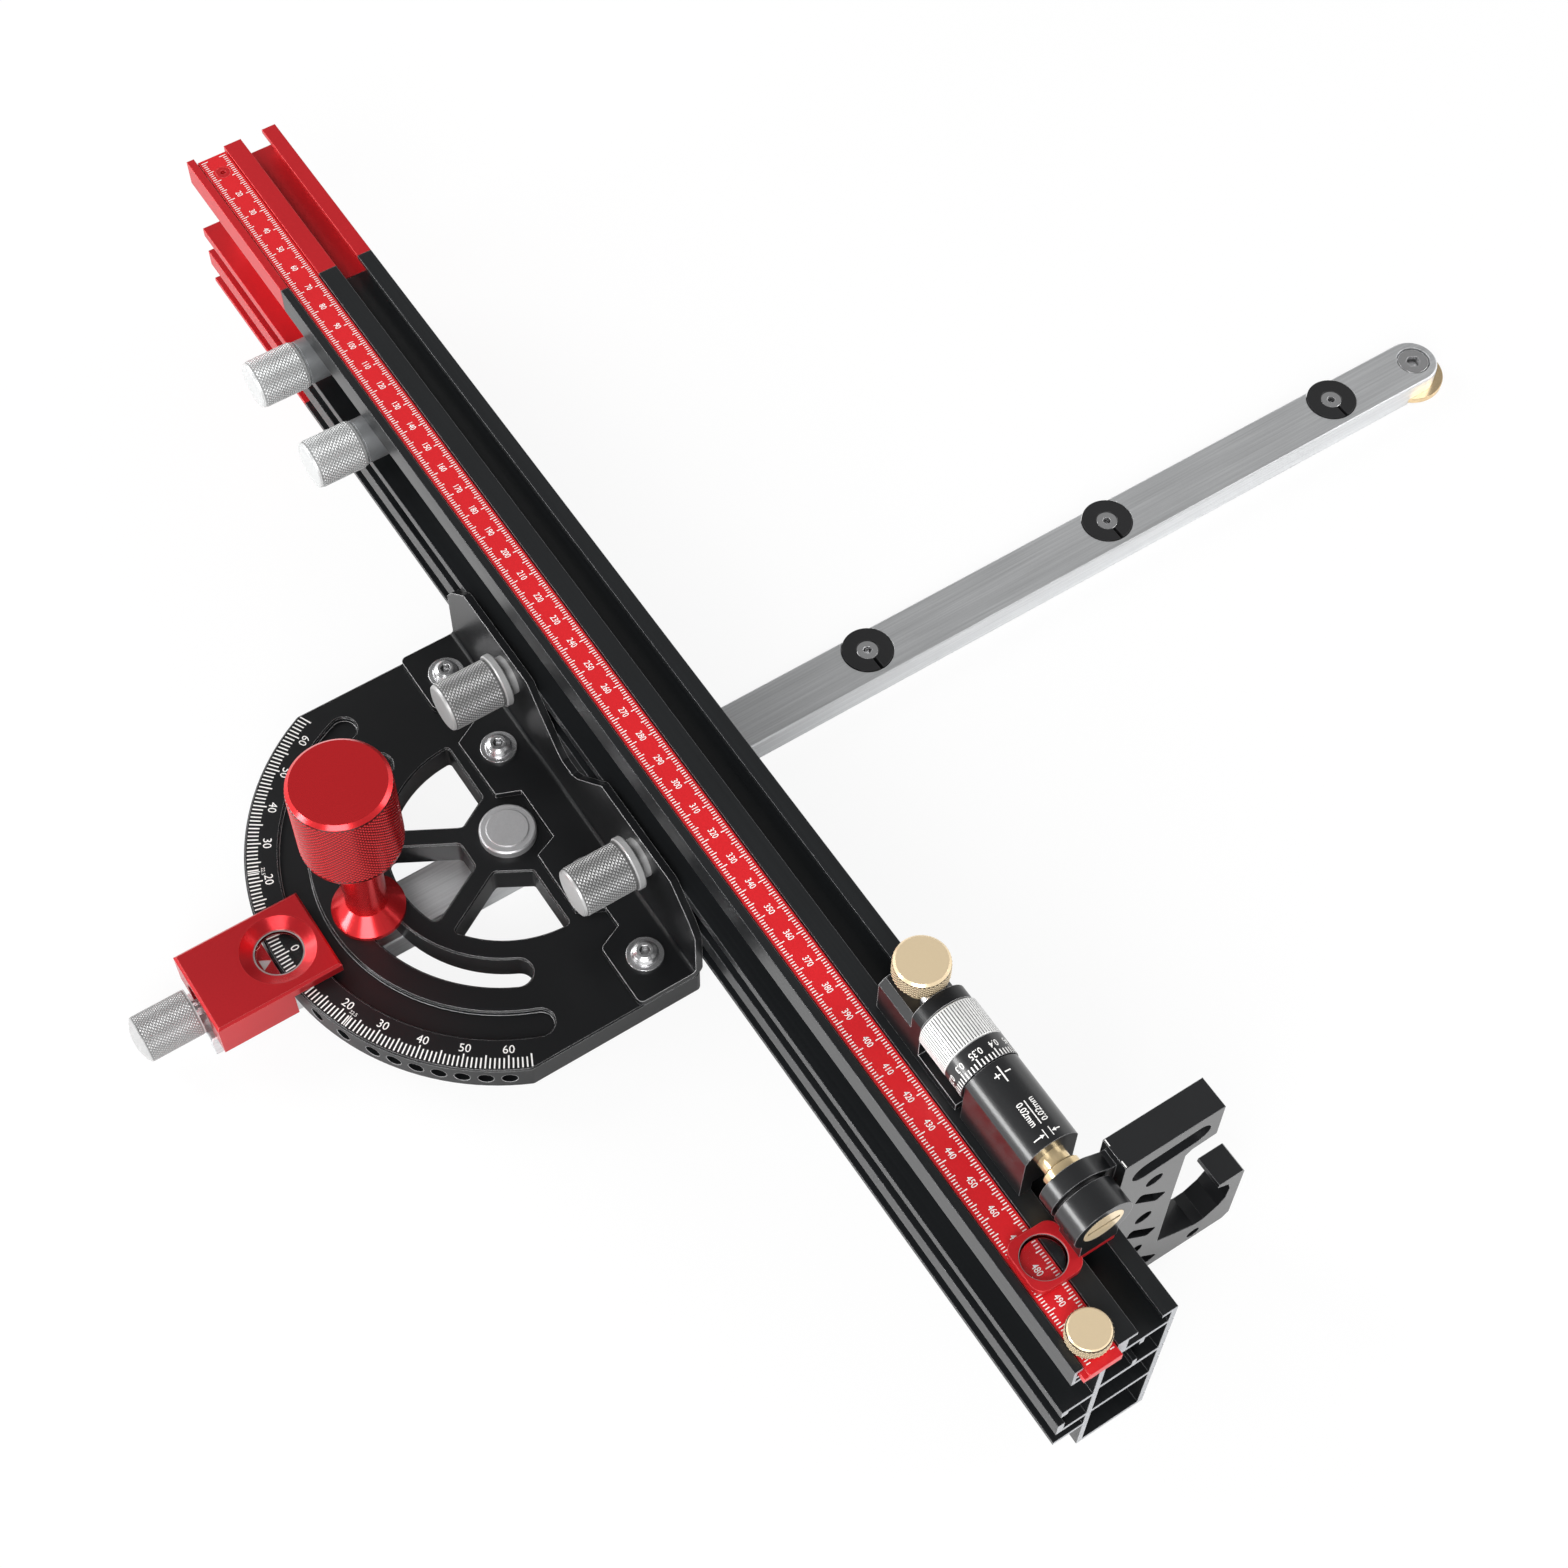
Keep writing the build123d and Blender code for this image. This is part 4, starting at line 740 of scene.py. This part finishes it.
# %% Sleeve of pyramids
knurl_tree, entry, leave = start_group(
    "knurl_sleeve", "GeometryNodeTree",
    [("Around", "Int"), ("Rows", "Int"), ("Radius", "Float"), ("Start", "Float"), ("Row", "Float"),
     ("Proud", "Float"), ("Metal", "Material")], [("Geometry", "Geometry")])
index = node(knurl_tree, "GeometryNodeInputIndex").outputs[0]
rows_done = sums(knurl_tree, "DIVIDE", sums(knurl_tree, "ADD", index, 0.01), entry["Around"])
row = sums(knurl_tree, "FLOOR", rows_done)
column = sums(knurl_tree, "SUBTRACT", index, sums(knurl_tree, "MULTIPLY", row, entry["Around"]))
shifted = sums(knurl_tree, "MULTIPLY_ADD", sums(knurl_tree, "MODULO", row, 2.0), 0.5, column)
step = sums(knurl_tree, "DIVIDE", 2 * math.pi, entry["Around"])
angle = sums(knurl_tree, "MULTIPLY", shifted, step)
rise = sums(knurl_tree, "MULTIPLY_ADD", row, entry["Row"], entry["Start"])
spot = round_axis(knurl_tree, angle, entry["Radius"], rise)
many = sums(knurl_tree, "MULTIPLY", entry["Around"], entry["Rows"])
points = node(knurl_tree, "GeometryNodePoints", {}, {"Count": many, "Position": spot}).outputs[0]
pyramid = node(knurl_tree, "GeometryNodeMeshCone", {"fill_type": "NONE"}, {
    "Vertices": 4, "Radius Top": 0.12, "Radius Bottom": 1.0, "Depth": 1.0}).outputs[0]
half_width = sums(knurl_tree, "MULTIPLY", sums(knurl_tree, "MULTIPLY", step, entry["Radius"]), 0.5)
size = combine(knurl_tree, entry["Row"], half_width, entry["Proud"])
facing = combine(knurl_tree, y=math.pi / 2, z=angle)
close_tree(knurl_tree, leave, points, pyramid, facing, size, entry["Metal"])
print("tree:", knurl_tree.name)


# %% Knurls on every grip
def knurl(name, node_name, body, pitch, proud=0.28):
    axis, centre, radius, start, end = knurl_zones[node_name]
    around = int(round(2 * math.pi * radius / pitch))
    row = pitch / 2
    rows = int((end - start) / row) - 1
    lead = start + ((end - start) - (rows - 1) * row) / 2
    turn = {"X": Matrix.Rotation(math.pi / 2, 4, "Y"), "Y": Matrix.Rotation(-math.pi / 2, 4, "X"),
            "Z": Matrix.Identity(4)}[axis]
    place = Matrix.Translation(mm(*centre)) @ turn
    return grow(name, knurl_tree, {
        "Around": around, "Rows": rows, "Radius": (radius - knurl_sink) * MM, "Start": lead * MM,
        "Row": row * MM, "Proud": proud * MM, "Metal": turned_finishes[node_name]}, body, place)


knurl("clamp_knurl", "clamp_knob", "clamp_knob", 1.5, 0.30)
knurl("detent_knurl", "detent_knob", "detent", 1.2, 0.18)
for side_name in ("left", "right"):
    knob = "bracket_knob_" + side_name
    knurl("bracket_knurl_" + side_name, knob, knob, 1.4)
for letter in ("a", "b"):
    knob = "extension_knob_" + letter
    knurl("extension_knurl_" + letter, knob, knob, 1.4)
knurl("thumb_knurl", "rule_thumb_screw", "rule_thumb_screw", 1.15, 0.26)
knurl("lock_knurl", "stop_lock_knob", "stop_lock_knob", 1.2, 0.26)

# %% [markdown]
# ## The fine feed dial
#
# The silver dial is cut with straight flutes, so a finger can turn it a hundredth at a
# time.  Its black sleeve has fifty ticks for half a millimetre, and the housing beside
# it has the line that the ticks are read against.  The barrels lie along the fence, so
# the marks are worked out round their common axis.

# %% Flutes round the dial
flute_tree, entry, leave = start_group(
    "flute_ring", "GeometryNodeTree",
    [("Count", "Int"), ("Radius", "Float"), ("Middle", "Float"), ("Length", "Float"), ("Proud", "Float"),
     ("Width", "Float"), ("Metal", "Material")], [("Geometry", "Geometry")])
index = node(flute_tree, "GeometryNodeInputIndex").outputs[0]
angle = sums(flute_tree, "MULTIPLY", index, sums(flute_tree, "DIVIDE", 2 * math.pi, entry["Count"]))
spot = round_axis(flute_tree, angle, entry["Radius"], entry["Middle"])
points = node(flute_tree, "GeometryNodePoints", {}, {"Count": entry["Count"], "Position": spot}).outputs[0]
rib = node(flute_tree, "GeometryNodeMeshCube", {}, {"Size": (1.0, 1.0, 1.0)}).outputs[0]
size = combine(flute_tree, entry["Proud"], entry["Width"], entry["Length"])
facing = combine(flute_tree, z=angle)
close_tree(flute_tree, leave, points, rib, facing, size, entry["Metal"])
barrel_axis = Matrix.Translation(mm(*barrel_centre)) @ Matrix.Rotation(math.pi / 2, 4, "Y")
grow("dial_flutes", flute_tree, {
    "Count": 66, "Radius": 9.42 * MM, "Middle": 168.65 * MM, "Length": 11.6 * MM, "Proud": 0.34 * MM,
    "Width": 0.60 * MM, "Metal": turned_finishes["dial"]}, "dial", barrel_axis)

# %% Ticks round the sleeve
ring_tree, entry, leave = start_group(
    "tick_ring", "GeometryNodeTree",
    tick_inputs + [("Radius", "Float"), ("Edge", "Float"), ("Ink", "Material")],
    [("Geometry", "Geometry")])
index = node(ring_tree, "GeometryNodeInputIndex").outputs[0]
length = tick_length(ring_tree, entry, index)
angle = sums(ring_tree, "MULTIPLY_ADD", index, entry["Step"], entry["First"])
middle = sums(ring_tree, "MULTIPLY_ADD", length, -0.5, entry["Edge"])
spot = round_axis(ring_tree, angle, entry["Radius"], middle)
points = node(ring_tree, "GeometryNodePoints", {}, {"Count": entry["Count"], "Position": spot}).outputs[0]
tick = unit_tick(ring_tree)
size = combine(ring_tree, length, entry["Width"], 1.0)
facing = combine(ring_tree, y=math.pi / 2, z=angle)
close_tree(ring_tree, leave, points, tick, facing, size, entry["Ink"])


def round_barrel(x, angle, radius):
    a = math.radians(angle)
    return Vector((x, barrel_y - radius * math.sin(a), barrel_z + radius * math.cos(a)))


sleeve_r = 9.55
sleeve_mark = 15.6
grow("sleeve_ticks", ring_tree, {
    "Count": 50, "First": math.radians(180 - sleeve_mark), "Step": math.radians(7.2), "Width": 0.42 * MM,
    "Short": 1.9 * MM, "Half": 2.7 * MM, "Long": 2.7 * MM, "Radius": (sleeve_r + ink_gap) * MM,
    "Edge": 182.2 * MM, "Ink": white_ink}, "dial", barrel_axis)


# %% Numbers round the sleeve
def on_sleeve(angle):
    radius = sleeve_r + ink_gap
    return lambda u, v: round_barrel(178.2 + v, angle + math.degrees(u / radius), radius)


sleeve_numbers = []
for turn_index in range(10):
    value = (0.35 - 0.05 * turn_index) % 0.5
    text = f"{value:.2f}".rstrip("0").rstrip(".") or "0"
    number = letters(text, 2.1, narrow=0.85, weight=0.012)
    sleeve_numbers.append((number, on_sleeve(sleeve_mark + 36 * turn_index)))
print_on("sleeve_numbers", sleeve_numbers, "dial")


# %% Marks on the housing
housing_r = 9.3


def on_housing(x, angle, half_turn=False):
    radius = housing_r + ink_gap
    sign = -1 if half_turn else 1
    return lambda u, v: round_barrel(x + sign * u, angle - math.degrees(sign * v / radius), radius)


def housing_skin(x, angle):
    return round_barrel(x, angle, housing_r + ink_gap)


def bar_mark(x0, x1, angle0, angle1):
    steps = 6
    outline, loops = [], []
    for i in range(steps + 1):
        a = angle0 + (angle1 - angle0) * i / steps
        outline += [(x0, a), (x1, a)]
    for i in range(steps):
        loops.append((2 * i, 2 * i + 2, 2 * i + 3, 2 * i + 1))
    return (outline, loops), housing_skin


# Each bar is given by its two ends along the barrel and its two angles round it.
step_text = letters("0.02mm", 2.0, narrow=0.86, weight=0.014)
housing_marks = [
    bar_mark(184.3, 189.5, 1.2, -1.6),
    bar_mark(185.75, 187.7, 10.3, 8.5),
    bar_mark(186.55, 186.95, 15.6, 3.4),
    bar_mark(186.55, 186.95, -5.6, -17.5),
    bar_mark(196.3, 204.1, -0.2, -2.2),
    bar_mark(205.6, 208.5, 5.0, 3.4),
    bar_mark(205.6, 208.5, -6.4, -8.0),
    bar_mark(206.97, 207.33, 27.5, 10.5),
    bar_mark(206.97, 207.33, -13.5, -25.5),
    (step_text, on_housing(200.0, 9.7)),
    (step_text, on_housing(200.0, -12.2, half_turn=True)),
]
for tip, tail in ((5.6, 13.0), (-8.6, -16.0)):
    spread = ([(207.15, tip), (206.55, tail), (207.75, tail)], [(0, 1, 2)] if tip < 0 else [(0, 2, 1)])
    housing_marks.append((spread, housing_skin))
print_on("housing_marks", housing_marks, "housing")

# %% [markdown]
# ## Small marks
#
# Each lens shows the ground edge of its glass as a thin pale ring.  A pale triangle
# under the magnifier points at the angle scale, and two short lines mark the corners of
# the flip arm.  All of them are flat faces a few hundredths of a millimetre above what
# they mark.

# %% Ground edges of the two lenses
def ground_edge(name, centre, inner, outer, z, body):
    sides = 48
    spots, faces = [], []
    for i in range(sides):
        a = 2 * math.pi * i / sides
        spots += [(r * math.cos(a) + centre[0], r * math.sin(a) + centre[1]) for r in (inner, outer)]
        j = (i + 1) % sides
        faces.append((2 * i, 2 * i + 1, 2 * j + 1, 2 * j))
    print_on(name, [((spots, faces), lambda x, y: Vector((x, y, z)))], body, ground_glass)


ground_edge("index_lens_edge", (0, dish_y), inner=7.55, outer=7.95, z=21.64, body="guide_bar")
ground_edge("cursor_lens_edge", (228.3, 36.9), inner=6.50, outer=6.68, z=90.13, body="housing")

# %% Pointer and corner lines
pointer = ([(0, -84.7), (-2.0, -88.2), (2.0, -88.2)], [(0, 1, 2)])
print_on("index_pointer", [(pointer, lambda x, y: Vector((x, y, head_top_z + ink_gap)))],
         "guide_bar", ground_glass)
arm_top_z = 112.3
corner_lines = []
for x0, x1 in ((216.5, 218.7), (223.8, 226.0)):
    line = ([(x0, 62.6), (x1, 62.6), (x1, 62.95), (x0, 62.95)], [(0, 1, 2, 3)])
    corner_lines.append((line, lambda x, y: Vector((x, y, arm_top_z + ink_gap))))
print_on("arm_corner_lines", corner_lines, "arm")
